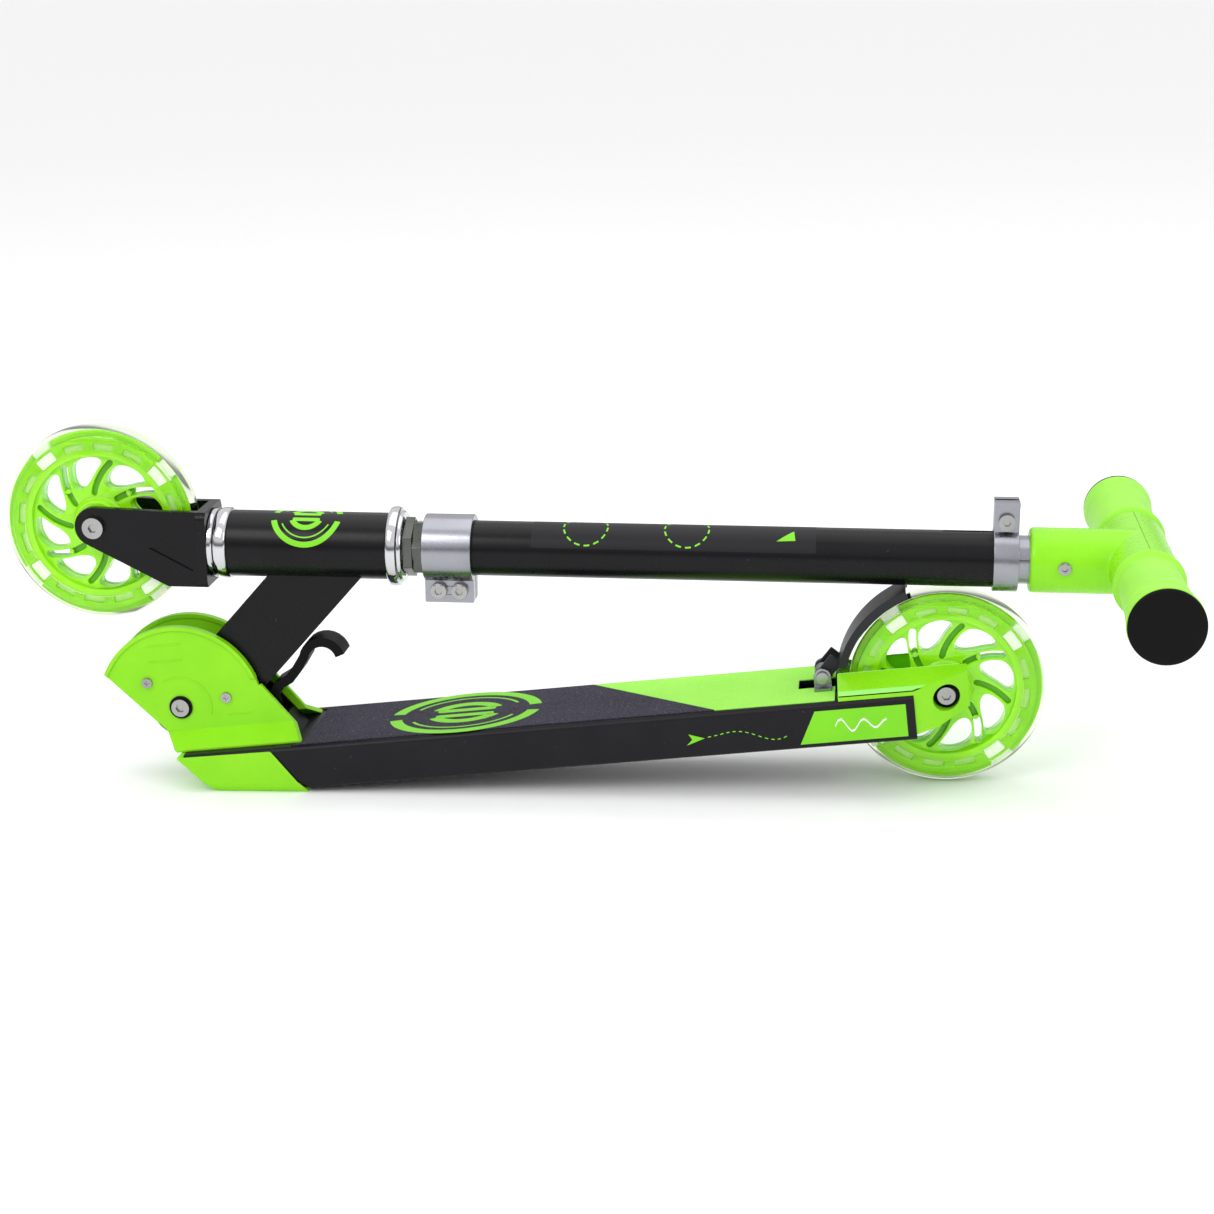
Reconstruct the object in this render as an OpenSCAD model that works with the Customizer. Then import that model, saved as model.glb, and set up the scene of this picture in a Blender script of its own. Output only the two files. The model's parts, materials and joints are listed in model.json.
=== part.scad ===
// Folding kick scooter for a child, in its folded state: it rests on its nose cap and rear wheel.
// X runs from the front wheel to the handlebar, Y across, Z up. The origin is under the middle of the box.
// Deck pieces are drawn from the fold pivot, X along the deck; column pieces from the pivot's foot on the
// column's axis, X along the column.

/* [Wheels] */
// Diameter of both wheels over the tyre
wheel_d = 120; // [104:1:144]
// Width of the tyre
wheel_w = 24; // [20:1:28]
// Thickness of the clear tyre outside the core's rim
tyre_t = 7; // [5:0.5:9]
// Radius of the wheel's hub
hub_r = 14.5; // [13.5:0.5:17]
// Number of openings in a wheel core
openings = 8; // [6:1:10]
// Radial thickness of the core's rim
rim_t = 11.5; // [9:0.5:13]
// Diameter of the axle bolts
axle_d = 8; // [6:0.5:10]
// Outer diameter of a wheel bearing
bearing_d = 22; // [19:0.5:24]
// Width of a wheel bearing
bearing_w = 7; // [5:0.5:8]

/* [Deck] */
// Width of the deck
deck_w = 79; // [72:1:96]
// Height of the deck section
deck_h = 27; // [24:1:33]
// Wall of the deck section
deck_wall = 2.4; // [2:0.2:3.6]
// Distance from the fold pivot to the rear axle, along the deck
axle_reach = 462.7; // [390:1:560]
// Depth of the rear axle below the deck's top face
axle_drop = 5.9; // [3:0.5:9]
// Half-width of the slot for the rear wheel
slot_half = 18.2; // [17:0.2:22]
// Thickness of the grip tape
grip_t = 0.8; // [0.5:0.1:1.5]
// Width of the bare rim beside the grip tape
grip_margin = 3.8; // [2:0.2:8]
// Wall of the nose cap below the deck
nose_wall = 2.6; // [1.6:0.2:4]

/* [Fold hinge] */
// Height of the fold pivot above the deck's top face
pivot_lift = 24.4; // [23.5:0.2:30]
// Diameter of the fold pivot bolt
pivot_d = 8; // [6:0.5:10]
// Radius of the hinge covers' round top
cover_r = 51; // [46:1:58]
// Thickness of a hinge cover
cover_t = 3; // [2:0.5:4]
// Width of the neck between the hinge walls
neck_w = 22; // [18:1:26]
// Play between the neck and each hinge wall
neck_play = 0.4; // [0.3:0.1:0.8]
// Thickness of the hinge's steel walls
hinge_t = 2; // [1.5:0.5:3]

/* [Column] */
// Distance from the fold pivot to the column's axis
column_rise = 100.4; // [96:0.5:120]
// Outer diameter of the column tube
column_d = 33; // [30:0.5:40]
// Wall of the column tube
column_wall = 2.2; // [1.6:0.2:3]
// Distance that the folded column tube passes the rear axle
column_past = 25.2; // [20:1:90]
// Outer diameter of the head tube
head_d = 40; // [38:0.5:46]
// Length of the head tube
head_len = 96.6; // [88:1:120]
// Depth of the neck in side view
neck_depth = 43.1; // [36:0.5:48]
// Angle of the neck to the column
neck_angle = 48.5; // [44:0.5:54]
// Offset of the wheel from the column's axis
rake = 12.2; // [8:0.2:16]
// Gap between the folded column and the rear tyre
rest_gap = 0.5; // [0.4:0.1:3]

/* [Handlebar] */
// Width of the handlebar over its end caps
bar_w = 276.2; // [240:1:360]
// Outer diameter of the handlebar tube
bar_d = 22.2; // [20:0.2:25]
// Outer diameter of the tee's stem and crossbar
tee_d = 38.4; // [35:0.2:46]
// Length of the tee's crossbar between the grips
tee_w = 98; // [80:1:120]
// Distance from the column's top to the handlebar's axis, with the inner tube down
bar_reach = 84.1; // [76:1:110]
// Largest radius of a grip
grip_r = 22.1; // [20:0.1:26]

/* [Hidden] */
$fn = 64;

// Clearances: running fits turn, seat gaps keep glued or pressed pieces of one body apart.
run_gap = 0.05;
seat_gap = 0.02;
part_gap = 0.5;
big = 900;

lime = "#8ce62a";
satin_black = "#1c1c20";
steel = "#c8cacc";

// Wheel sizes
wheel_r = wheel_d / 2;
rim_r = wheel_r - tyre_t;
web_r = rim_r - rim_t;
axle_r = axle_d / 2;
bearing_r = bearing_d / 2;
side_gap = 3.5;
dropout_in = wheel_w / 2 + side_gap;

// Deck in its own frame
deck_top = -pivot_lift;
deck_bottom = deck_top - deck_h;
deck_half = deck_w / 2;
axle_z = deck_top - axle_drop;
slot_start = axle_reach - wheel_r - 4.7;
rail_end = axle_reach - 18.9;
dropout_end = axle_reach + 13.3;
nose_end = 77;

// The folded scooter stands on the nose cap and the rear tyre, which sets the deck's slope.
slope_x = axle_reach - nose_end;
slope_z = axle_z - deck_bottom;
deck_slope = asin((wheel_r - nose_wall) / norm([slope_x, slope_z])) - atan2(slope_z, slope_x);
pivot_z = wheel_r - axle_reach * sin(deck_slope) - axle_z * cos(deck_slope);
function floor_at(x) = -(pivot_z + x * sin(deck_slope)) / cos(deck_slope);

// The column lies just above the rear tyre, which sets its droop.
axle_dx = axle_reach * cos(deck_slope) - axle_z * sin(deck_slope);
axle_dz = wheel_r - pivot_z;
column_r = column_d / 2;
column_bore = column_r - column_wall;
column_drop = asin((column_rise - wheel_r - column_r - rest_gap) / norm([axle_dx, axle_dz]))
    - atan2(axle_dz, axle_dx);

// Places along the column
head_x = 33.4;
crown_race_h = 3.4;
cup_h = 8;
crown_x = head_x - cup_h - crown_race_h - part_gap;
crown_t = 6;
wheel_clear = 2.7;
axle_x = crown_x - crown_t - wheel_clear - wheel_r;
head_end = head_x + head_len;
upper_cup_h = 9.5;
nuts_x = head_end + upper_cup_h + part_gap;
nut_h = 5.6;
clamp_x = nuts_x + 2 * nut_h + 0.6;
lower_clamp_len = 29.5;
column_x = clamp_x + 1;
column_end = norm([axle_dx, axle_dz]) + column_past;
height_clamp_len = 14.6;
height_clamp_x = column_end - height_clamp_len + 13.6;
bar_x = column_end + bar_reach;
stem_x = column_end + 19.8;
inner_x = column_end - 220;
steerer_r = column_bore - run_gap;
head_r = max(head_d / 2, steerer_r + 5.8);
clamp_r = column_r + 3.6;
bar_r = bar_d / 2;
tee_r = tee_d / 2;
cap_t = 3;

// The origin sits under the middle of the box along X.
x_low = axle_x * cos(column_drop) + (column_rise + rake) * sin(column_drop) - wheel_r;
x_high = bar_x * cos(column_drop) + column_rise * sin(column_drop) + grip_r;
pivot_x = -(x_low + x_high) / 2;

module on_deck() translate([pivot_x, 0, pivot_z]) rotate([0, -deck_slope, 0]) children();
module on_column() translate([pivot_x, 0, pivot_z]) rotate([0, column_drop, 0])
    translate([0, 0, column_rise]) children();
module at_rear_axle() on_deck() translate([axle_reach, 0, axle_z]) children();
module at_front_axle() on_column() translate([axle_x, 0, rake]) children();

// An outline in XZ given a thickness from y0 to y1
module side_plate(y0, y1) translate([0, y1, 0]) rotate([90, 0, 0]) linear_extrude(y1 - y0) children();
// An outline in YZ given a length from x0 to x1
module bar_along(x0, x1) translate([x0, 0, 0]) rotate([90, 0, 90]) linear_extrude(x1 - x0) children();
// A round bar along Y from y0 to y1
module pin_y(r, y0, y1) translate([0, y1, 0]) rotate([90, 0, 0]) cylinder(r = r, h = y1 - y0);
// A round bar along X from x0 to x1
module pin_x(r, x0, x1) translate([x0, 0, 0]) rotate([0, 90, 0]) cylinder(r = r, h = x1 - x0);
module ring_x(r_out, r_in, x0, x1) difference() {
    pin_x(r_out, x0, x1);
    pin_x(r_in, x0 - 1, x1 + 1);
}
module ring_y(r_out, r_in, y0, y1) difference() {
    pin_y(r_out, y0, y1);
    pin_y(r_in, y0 - 1, y1 + 1);
}
module rounded_rect(w, h, r) {
    square([w - 2 * r, h], center = true);
    square([w, h - 2 * r], center = true);
    for (i = [-1, 1], j = [-1, 1]) translate([i * (w / 2 - r), j * (h / 2 - r)]) circle(r);
}
function reversed(list) = [for (i = [len(list) - 1 : -1 : 0]) list[i]];
// The mitre direction at point i of a bent strip
function across(p, i) = let (j = max(i, 1), k = min(i + 1, len(p) - 1), d = p[j] - p[j - 1],
    e = i == 0 ? d : p[k] - p[k - 1], a = [-d.y, d.x] / norm(d), b = [-e.y, e.x] / norm(e))
    (a + b) / (1 + a * b);
// A bent strip of width w through a list of points, with mitred joints
module strip(p, w) polygon(concat([for (i = [0 : len(p) - 1]) p[i] + across(p, i) * w / 2],
    reversed([for (i = [0 : len(p) - 1]) p[i] - across(p, i) * w / 2])));
// The direction from a circle's centre to the point where a line from p touches it, on the given side
function touch_angle(c, r, p, side) = let (d = p - c) atan2(d.y, d.x) + side * acos(r / norm(d));

// ---- Deck ----

cap_skin = 1.5;
module nose_side(inset) polygon([[-1 + inset * 1.6, deck_top - 0.6 + (inset > 0 ? 30 : 0)],
    [-1 + inset * 1.6, deck_top - 0.6], [19.5 + inset * 1.3, floor_at(19.5) + inset],
    [nose_end + (inset > 0 ? big : 0), floor_at(nose_end + (inset > 0 ? big : 0)) + inset],
    [nose_end + (inset > 0 ? big : 0), deck_top + 30],
    [nose_end - 18, deck_top + 30], [nose_end - 18, deck_top - 0.6]]);
module nose_cap_side() polygon([[-1, deck_top - 0.6], [19.5, floor_at(19.5)],
    [nose_end, floor_at(nose_end)], [nose_end - 19, deck_top - 1.2]]);

module nose_cap() color(lime) on_deck() difference() {
    intersection() {
        side_plate(-deck_half - cap_skin, deck_half + cap_skin) nose_cap_side();
        floor_prism(deck_half + cap_skin, 0, 4);
    }
    intersection() {
        side_plate(-big / 4, big / 4) nose_side(nose_wall - seat_gap);
        floor_prism(deck_half + seat_gap, nose_wall - seat_gap, 3.2);
    }
}
// A level prism with its lower edges cut back, which shapes the nose cap and the deck inside it
module floor_prism(half, low, cut) rotate([0, deck_slope, 0]) translate([0, 0, -pivot_z])
    bar_along(-big, big) polygon([[-half + cut, low], [-half, low + 1.6 * cut], [-half, 90],
        [half, 90], [half, low + 1.6 * cut], [half - cut, low]]);

slot_window_x = 22;
window_half = 9;
rib_y = slot_half + 1.2;
module deck() color(satin_black) on_deck() difference() {
    intersection() {
        bar_along(0, rail_end) translate([0, (deck_top + deck_bottom) / 2])
            rounded_rect(deck_w, deck_h, 3);
        side_plate(-big, big) nose_side(nose_wall + seat_gap);
        union() {
            floor_prism(deck_half + seat_gap, nose_wall, 3.2);
            translate([nose_end, -big / 2, -big / 2]) cube(big);
        }
    }
    for (i = [-1, 0, 1]) translate([0, i * (rib_y + deck_half - deck_wall + 1.2) / 2, 0])
        bar_along(-1, rail_end + 1) translate([0, (deck_top + deck_bottom) / 2])
            square([i == 0 ? 2 * rib_y - 2.4 : deck_half - deck_wall - rib_y - 1.2,
                deck_h - 2 * deck_wall], center = true);
    translate([slot_start, -slot_half, -big / 2]) cube([big, 2 * slot_half, big]);
    translate([slot_start - slot_window_x, -window_half, deck_top - deck_wall - 1])
        cube([slot_window_x + 1, 2 * window_half, big]);
}

grip_front = 83;
print_near = 327;
print_far = 247;
grip_half = deck_half - grip_margin;
module grip_tape() color("#3c3a42") on_deck() translate([0, 0, deck_top]) linear_extrude(grip_t)
    polygon([[nose_end - 7, -grip_half], [print_near, -grip_half], [print_far, grip_half],
        [nose_end - 10, grip_half], [nose_end + 1, cover_foot + 0.5], [nose_end + 1, -cover_foot - 0.5]]);
module rear_grip_panel() color("#a4f060") on_deck() translate([0, 0, deck_top]) difference() {
    linear_extrude(grip_t) polygon([[print_near + 0.3, -grip_half], [slot_start, -grip_half],
        [slot_start, grip_half], [print_far + 0.3, grip_half]]);
    translate([slot_start - slot_window_x, -window_half, -1])
        cube([slot_window_x + 1, 2 * window_half, 5]);
}
label_t = 0.3;
label_end = rail_end - 5;
module side_labels() color(lime) on_deck() for (s = [-1, 1])
    side_plate(s * (deck_half + label_t / 2) - label_t / 2, s * (deck_half + label_t / 2) + label_t / 2)
        polygon([[label_end - 63, deck_bottom + 3.2], [label_end - 53, deck_top - 4.2],
            [label_end, deck_top - 4.2], [label_end, deck_bottom + 3.2]]);

// ---- Fold hinge ----

wall_in = neck_w / 2 + neck_play;
wall_out = wall_in + hinge_t;
cover_in = wall_out + seat_gap;
cover_out = cover_in + cover_t;
cover_foot = cover_out + 14.5;
front_top = [-43.4, 23.2];
front_low = [-2.6, deck_top];
notch = [51.9, 9.6];
rear_low = [nose_end - 2, deck_top];
pivot_r = pivot_d / 2;

module behind_front_edge(shift = 0) polygon([front_low + [shift, 0], [big, deck_top], [big, big],
    front_top + [shift, 0] + 6 * (front_top - front_low)]);
module cover_outline(inset = 0) intersection() {
    behind_front_edge(inset);
    union() {
        circle(cover_r - inset, $fn = 96);
        polygon([front_low, rear_low - [inset, 0], notch - [inset, 0], [0, notch.y]]);
    }
}
module foot_profile(s) polygon([for (p = [[cover_in, 60], [cover_out, 60], [cover_out, deck_top + 9.6],
    [cover_foot, deck_top + 1.4], [cover_foot, deck_top + seat_gap],
    [cover_foot - cover_t - 1.6, deck_top + seat_gap], [cover_in, deck_top + 7.6]]) [s * p.x, p.y]]);
module hinge_cover(s) color(lime) on_deck() difference() {
    union() {
        intersection() {
            side_plate(-big / 4, big / 4) cover_outline();
            bar_along(-big / 4, big / 4) foot_profile(s);
        }
        intersection() {
            side_plate(s > 0 ? cover_in - 1.2 : -cover_out - 0.8, s > 0 ? cover_out + 0.8 : 1.2 - cover_in)
                cover_outline();
            ring_y(cover_r, cover_r - 2.6, -big / 4, big / 4);
            translate([-big / 2, -big / 2, 14]) cube(big);
        }
    }
    pin_y(pivot_r + run_gap, -40, 40);
    for (p = screw_spots) translate([p.x, 0, p.y]) pin_y(1.8, -40, 40);
}
module hinge_cover_left() hinge_cover(-1);
module hinge_cover_right() hinge_cover(1);

screw_spots = [[-18.6, 17.2], [29.2, 3.8]];
latch_at = [50, -9];
latch_r = 3;
module hinge_bracket() color("#141416") on_deck() difference() {
    union() {
        for (s = [-1, 1]) side_plate(s * (wall_in + hinge_t / 2) - hinge_t / 2,
            s * (wall_in + hinge_t / 2) + hinge_t / 2) intersection() {
            behind_front_edge(2);
            union() {
                circle(33);
                polygon([[0, deck_top], rear_low - [5, 0], notch - [5, 2], [20, 12]]);
            }
        }
        side_plate(-wall_in, wall_in) polygon([[4, deck_top], [4, deck_top + 2.2],
            [66, deck_top + 2.2], [59.8, -13.5], [62, -13.5], rear_low - [5, 0]]);
    }
    translate([0, 0, deck_top - big / 2]) cube([big, big, big], center = true);
    pin_y(pivot_r + run_gap, -40, 40);
    for (p = screw_spots) translate([p.x, 0, p.y]) pin_y(1.5, -40, 40);
    translate([latch_at.x, 0, latch_at.y]) pin_y(latch_r + seat_gap, -40, 40);
}
module hinge_screws() color(steel) on_deck() for (p = screw_spots, s = [-1, 1])
    translate([p.x, 0, p.y]) scale([1, s, 1]) {
        difference() {
            pin_y(3.2, cover_out + seat_gap, cover_out + 1.6);
            for (a = [0, 90]) rotate([0, a, 0]) translate([0, cover_out + 1.6, 0])
                cube([3.4, 1.6, 0.8], center = true);
        }
        pin_y(1.45, wall_in + 0.2, cover_out + seat_gap);
    }
module fold_pivot_bolt() color(steel) on_deck() difference() {
    union() {
        pin_y(pivot_r, -cover_out - washer_t - 1, cover_out + 8);
        pin_y(pivot_r + 1.5, -cover_out - 2.8, -cover_out - washer_t - seat_gap);
    }
    translate([0, -cover_out - 1.1, 0]) rotate([90, 0, 0]) cylinder(r = 2.9, h = 4, $fn = 6);
}
washer_t = 1.2;
module fold_pivot_washer() color("#101012") on_deck()
    ring_y(pivot_r + 3.2, pivot_r + seat_gap, -cover_out - washer_t, -cover_out - seat_gap);
module fold_pivot_nut() color(steel) on_deck() translate([0, cover_out + 6.9, 0]) rotate([90, 0, 0])
    difference() {
        cylinder(r = 7.5, h = 6.8, $fn = 6);
        translate([0, 0, -1]) cylinder(r = pivot_r + seat_gap, h = 9);
    }

// ---- Rear end ----

flange_in_z = deck_top + 10.4;
flange_out_z = deck_top + 2.2;
dropout_out = deck_half - 2;
recess_r = 8;
recess_y = 22;
module rear_dropout(s) color(lime) on_deck() difference() {
    intersection() {
        translate([0, 0, deck_bottom + 2]) linear_extrude(deck_h + 20)
            polygon([for (p = [[slot_start + 2, dropout_in], [slot_start + 2, dropout_out],
                [rail_end + 0.2, dropout_out], [dropout_end, 22], [dropout_end, dropout_in]]) [p.x, s * p.y]]);
        bar_along(slot_start, dropout_end + 1) polygon([for (p = [[dropout_in - 1, flange_in_z],
            [dropout_out, flange_out_z], [dropout_out, deck_bottom], [dropout_in - 1, deck_bottom]])
            [s * p.x, p.y]]);
        side_plate(-big / 4, big / 4) polygon([[slot_start, 0], [dropout_end, 0],
            [dropout_end, axle_z - 8], [axle_reach - 6, axle_z - 16.5], [rail_end, deck_bottom + 3],
            [slot_start, deck_bottom + 3]]);
    }
    translate([-big + rail_end + seat_gap, s > 0 ? slot_half - 0.2 : -big - slot_half + 0.2,
        deck_top + seat_gap - big]) cube([big, big, big]);
    translate([axle_reach, 0, axle_z]) pin_y(axle_r + seat_gap, -40, 40);
    translate([axle_reach, 0, axle_z]) pin_y(recess_r, s > 0 ? recess_y : -60, s > 0 ? 60 : -recess_y);
}
module rear_dropout_left() rear_dropout(-1);
module rear_dropout_right() rear_dropout(1);

// An axle bolt along Y: head on the near side with a hex socket, thread end on the far side
module axle_bolt(seat, head_r) difference() {
    union() {
        pin_y(axle_r, -seat - 1, seat + 7);
        pin_y(head_r, -seat - 3.6, -seat - seat_gap);
    }
    translate([0, -seat - 3.6 + 1.8, 0]) rotate([90, 0, 0]) cylinder(r = 2.9, h = 4, $fn = 6);
}
module axle_nut(seat) difference() {
    translate([0, seat + seat_gap + 6, 0]) rotate([90, 0, 0]) cylinder(r = 7.2, h = 6, $fn = 6);
    pin_y(axle_r + seat_gap, 0, 60);
}
module rear_axle_bolt() color(steel) at_rear_axle() axle_bolt(recess_y, axle_r + 1.3);
module rear_axle_nut() color(steel) at_rear_axle() axle_nut(recess_y);
module rear_axle_spacers() color(steel) at_rear_axle() for (s = [-1, 1]) scale([1, s, 1])
    ring_y(6, axle_r + seat_gap, wheel_w / 2 + 0.02, dropout_in - seat_gap);

brake_at = [slot_start - 7, deck_top + 7.6];
brake_pin_r = 2.5;
ear_y = 10.2;
ear_t = 1.8;
module brake_bracket() color(steel) on_deck() difference() {
    for (s = [-1, 1]) scale([1, s, 1]) {
        side_plate(ear_y, ear_y + ear_t) {
            translate(brake_at) circle(5.2);
            translate([brake_at.x - 5.2, deck_top + grip_t + seat_gap]) square([10.4, 6.8]);
        }
        translate([brake_at.x - 5.2, ear_y, deck_top + grip_t + seat_gap]) cube([10.4, 8, 1.6]);
    }
    translate([brake_at.x, 0, brake_at.y]) pin_y(brake_pin_r + seat_gap, -40, 40);
}
module brake_pin() color(steel) on_deck() translate([brake_at.x, 0, brake_at.y]) {
    pin_y(brake_pin_r, -ear_y - ear_t - 0.1, ear_y + ear_t + 2.4);
    pin_y(3.6, -ear_y - ear_t - 2.2, -ear_y - ear_t - 0.1);
}
module brake_spring() color("#9a9ca0") on_deck() translate([brake_at.x, 0, brake_at.y])
    for (i = [-2 : 2]) translate([0, i * 1.7, 0]) rotate([90, 0, 0])
        rotate_extrude() translate([4.1, 0]) circle(0.75, $fn = 16);

fender_gap = 3;
fender_t = 1.8;
fender_w = wheel_w + 5;
fender_top = 112;
fender_low = 168;
brake_tab_w = 1.8;
// The fender is an arc about the rear axle, drawn in the level frame so that it stays under the column.
module brake_fender() color("#4a4a52") {
    at_rear_axle() rotate([0, deck_slope, 0]) rotate([90, 0, 0]) rotate([0, 0, fender_top])
        rotate_extrude(angle = fender_low - fender_top, $fn = 128) fender_section();
    on_deck() for (s = [-1, 1]) side_plate(s * 8.1 - brake_tab_w / 2, s * 8.1 + brake_tab_w / 2) difference() {
        union() {
            strip([brake_at, brake_foot], 8.6);
            translate(brake_at) circle(5);
        }
        translate(brake_at) circle(brake_pin_r + run_gap);
        translate([axle_reach, axle_z]) circle(wheel_r + fender_gap + 0.4);
    }
}
brake_foot = [axle_reach, axle_z] + (wheel_r + fender_gap + 3.6)
    * [cos(fender_low - deck_slope - 3), sin(fender_low - deck_slope - 3)];
module fender_section() {
    r = wheel_r + fender_gap;
    translate([r, -fender_w / 2]) square([fender_t, fender_w]);
    for (s = [-1, 1]) translate([r - 3, s * (fender_w / 2 - 0.8) - 0.8]) square([3.1, 1.6]);
}

// ---- Wheels, drawn about Z and turned onto Y ----

web_w = 12;
rim_w = 18;
rim_crown = 3;
rim_crown_w = 10;
module upright() rotate([90, 0, 0]) children();
spoke_w = 8;
spoke_sweep = 19;
// An opening between two spokes, swept back as it goes out: radius, middle angle and half angle
function leaf(t) = let (r = hub_r + 8 + (web_r - hub_r - 9) * t)
    [r, spoke_sweep * (1 - t), (180 / openings - asin(spoke_w / 2 / r)) * sqrt(1 - pow(abs(2 * t - 1), 4))];
leaf_steps = 12;
function leaf_side(s) = [for (i = [0 : leaf_steps]) if (s > 0 || (i > 0 && i < leaf_steps))
    let (p = leaf((1 - cos(180 * i / leaf_steps)) / 2), a = p[1] + s * p[2]) p[0] * [cos(a), sin(a)]];
module leaf_opening() polygon(concat(leaf_side(-1), reversed(leaf_side(1))));
opening_turn = 6;
light_turn = 37;
lights = 4;
light_len = 10;
module light_block(gap) translate([rim_r - 6.5 - gap, -light_len / 2 - gap, -rim_w / 2 + 2 - gap])
    cube([6 + 2 * gap, light_len + 2 * gap, rim_w - 4 + 2 * gap]);
module wheel_core() color("#7fe01e") upright() difference() {
    union() {
        difference() {
            union() {
                translate([0, 0, -rim_w / 2]) cylinder(r = rim_r, h = rim_w, $fn = 128);
                translate([0, 0, -rim_crown_w / 2]) cylinder(r = rim_r + rim_crown, h = rim_crown_w, $fn = 128);
            }
            translate([0, 0, -rim_w / 2 - 1]) cylinder(r = web_r, h = rim_w + 2, $fn = 128);
        }
        translate([0, 0, -web_w / 2]) cylinder(r = web_r + 1, h = web_w, $fn = 128);
        translate([0, 0, -wheel_w / 2]) cylinder(r = hub_r, h = wheel_w);
    }
    for (i = [0 : openings - 1]) rotate(opening_turn + i * 360 / openings)
        translate([0, 0, -wheel_w]) linear_extrude(2 * wheel_w) leaf_opening();
    for (s = [-1, 1]) translate([0, 0, s * (wheel_w / 2 - bearing_w / 2 + 0.5)])
        cylinder(r = bearing_r + seat_gap, h = bearing_w + 1, center = true);
    translate([0, 0, -wheel_w]) cylinder(r = bearing_r - 2, h = 2 * wheel_w);
    for (i = [0 : lights - 1]) rotate(light_turn + i * 360 / lights) light_block(0.1);
}
module tyre() color([0.85, 1, 0.7, 0.5]) upright() rotate_extrude($fn = 128) difference() {
    intersection() {
        translate([rim_r - 8, -wheel_w / 2]) square([tyre_t + 8, wheel_w]);
        union() {
            translate([wheel_r - wheel_w / 2, 0]) circle(wheel_w / 2);
            translate([0, -wheel_w / 2]) square([wheel_r - wheel_w / 2, wheel_w]);
        }
    }
    translate([0, -rim_w / 2 - seat_gap]) square([rim_r + seat_gap, rim_w + 2 * seat_gap]);
    translate([0, -rim_crown_w / 2 - seat_gap])
        square([rim_r + rim_crown + seat_gap, rim_crown_w + 2 * seat_gap]);
}
module bearings() color(steel) for (s = [-1, 1]) scale([1, s, 1]) {
    ring_y(bearing_r, axle_r + run_gap, wheel_w / 2 - bearing_w, wheel_w / 2 - 0.1);
}
module bearing_sleeve() color("#8a8c90")
    ring_y(axle_r + 3, axle_r + run_gap, -wheel_w / 2 + bearing_w + 0.05, wheel_w / 2 - bearing_w - 0.05);
module light_modules() color("white") upright() for (i = [0 : lights - 1])
    rotate(light_turn + i * 360 / lights) light_block(0);

module rear_wheel_core() at_rear_axle() wheel_core();
module rear_tyre() at_rear_axle() tyre();
module rear_bearings() at_rear_axle() bearings();
module rear_bearing_sleeve() at_rear_axle() bearing_sleeve();
module rear_light_modules() at_rear_axle() light_modules();
module front_wheel_core() at_front_axle() wheel_core();
module front_tyre() at_front_axle() tyre();
module front_bearings() at_front_axle() bearings();
module front_bearing_sleeve() at_front_axle() bearing_sleeve();
module front_light_modules() at_front_axle() light_modules();

// ---- Head and neck ----

module head_tube() color(satin_black) on_column()
    ring_x(head_r, head_r - 3, head_x, head_end);

neck_end_r = 21;
neck_left = 13.1;
neck_start = 44.3;
bush_r = pivot_r + 2;
neck_long = (column_rise + neck_depth) / sin(neck_angle);
neck_top = -4;
module neck_outline(wall) polygon([[wall, neck_left - wall], [neck_long, neck_left - wall],
    [neck_long, neck_left - neck_depth + wall], [neck_start + wall * 0.4, neck_left - neck_depth + wall],
    [21.4, -3.1 + wall], [0, -3]]);
module neck() color(satin_black) on_column() difference() {
    union() {
        translate([0, 0, -column_rise]) pin_y(neck_end_r, -neck_w / 2, neck_w / 2);
        translate([0, 0, -column_rise]) side_plate(-neck_w / 2, neck_w / 2) {
            intersection() {
                rotate(neck_angle) neck_outline(0);
                translate([-big, column_rise + neck_top - big]) square([2 * big, big]);
            }
        }
    }
    translate([0, 0, -column_rise]) side_plate(-neck_w / 2 + 2.6, neck_w / 2 - 2.6) intersection() {
        rotate(neck_angle) neck_outline(2.6);
        rotate(neck_angle) translate([34, -big / 2]) square(big);
    }
    pin_x(head_r + seat_gap, -big / 2, big);
    translate([0, 0, -column_rise]) pin_y(bush_r + seat_gap, -40, 40);
}
module pivot_bush() color(steel) on_column() translate([0, 0, -column_rise])
    ring_y(bush_r, pivot_r + run_gap, -neck_w / 2 - neck_play / 2, neck_w / 2 + neck_play / 2);

cup_r = head_r + 2.4;
module lower_headset_cup() color(steel) on_column() {
    ring_x(cup_r - 0.8, steerer_r + 1.6, head_x - cup_h, head_x - seat_gap);
    ring_x(head_r - 3 - seat_gap, steerer_r + 1.6, head_x - 0.1, head_x + 5);
}
module upper_headset_cup() color(steel) on_column() {
    ring_x(cup_r + 1.6, steerer_r + 1.6, head_end + seat_gap, head_end + upper_cup_h);
    ring_x(head_r - 3 - seat_gap, steerer_r + 1.6, head_end - 5, head_end + 0.1);
}
module headset_bearings() color("#8a8c90") on_column() for (x = [head_x - cup_h + 1.5, head_end + 1.5])
    ring_x(steerer_r + 1.6 - seat_gap, steerer_r + run_gap, x, x + 5);

// ---- Latch lever ----

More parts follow.
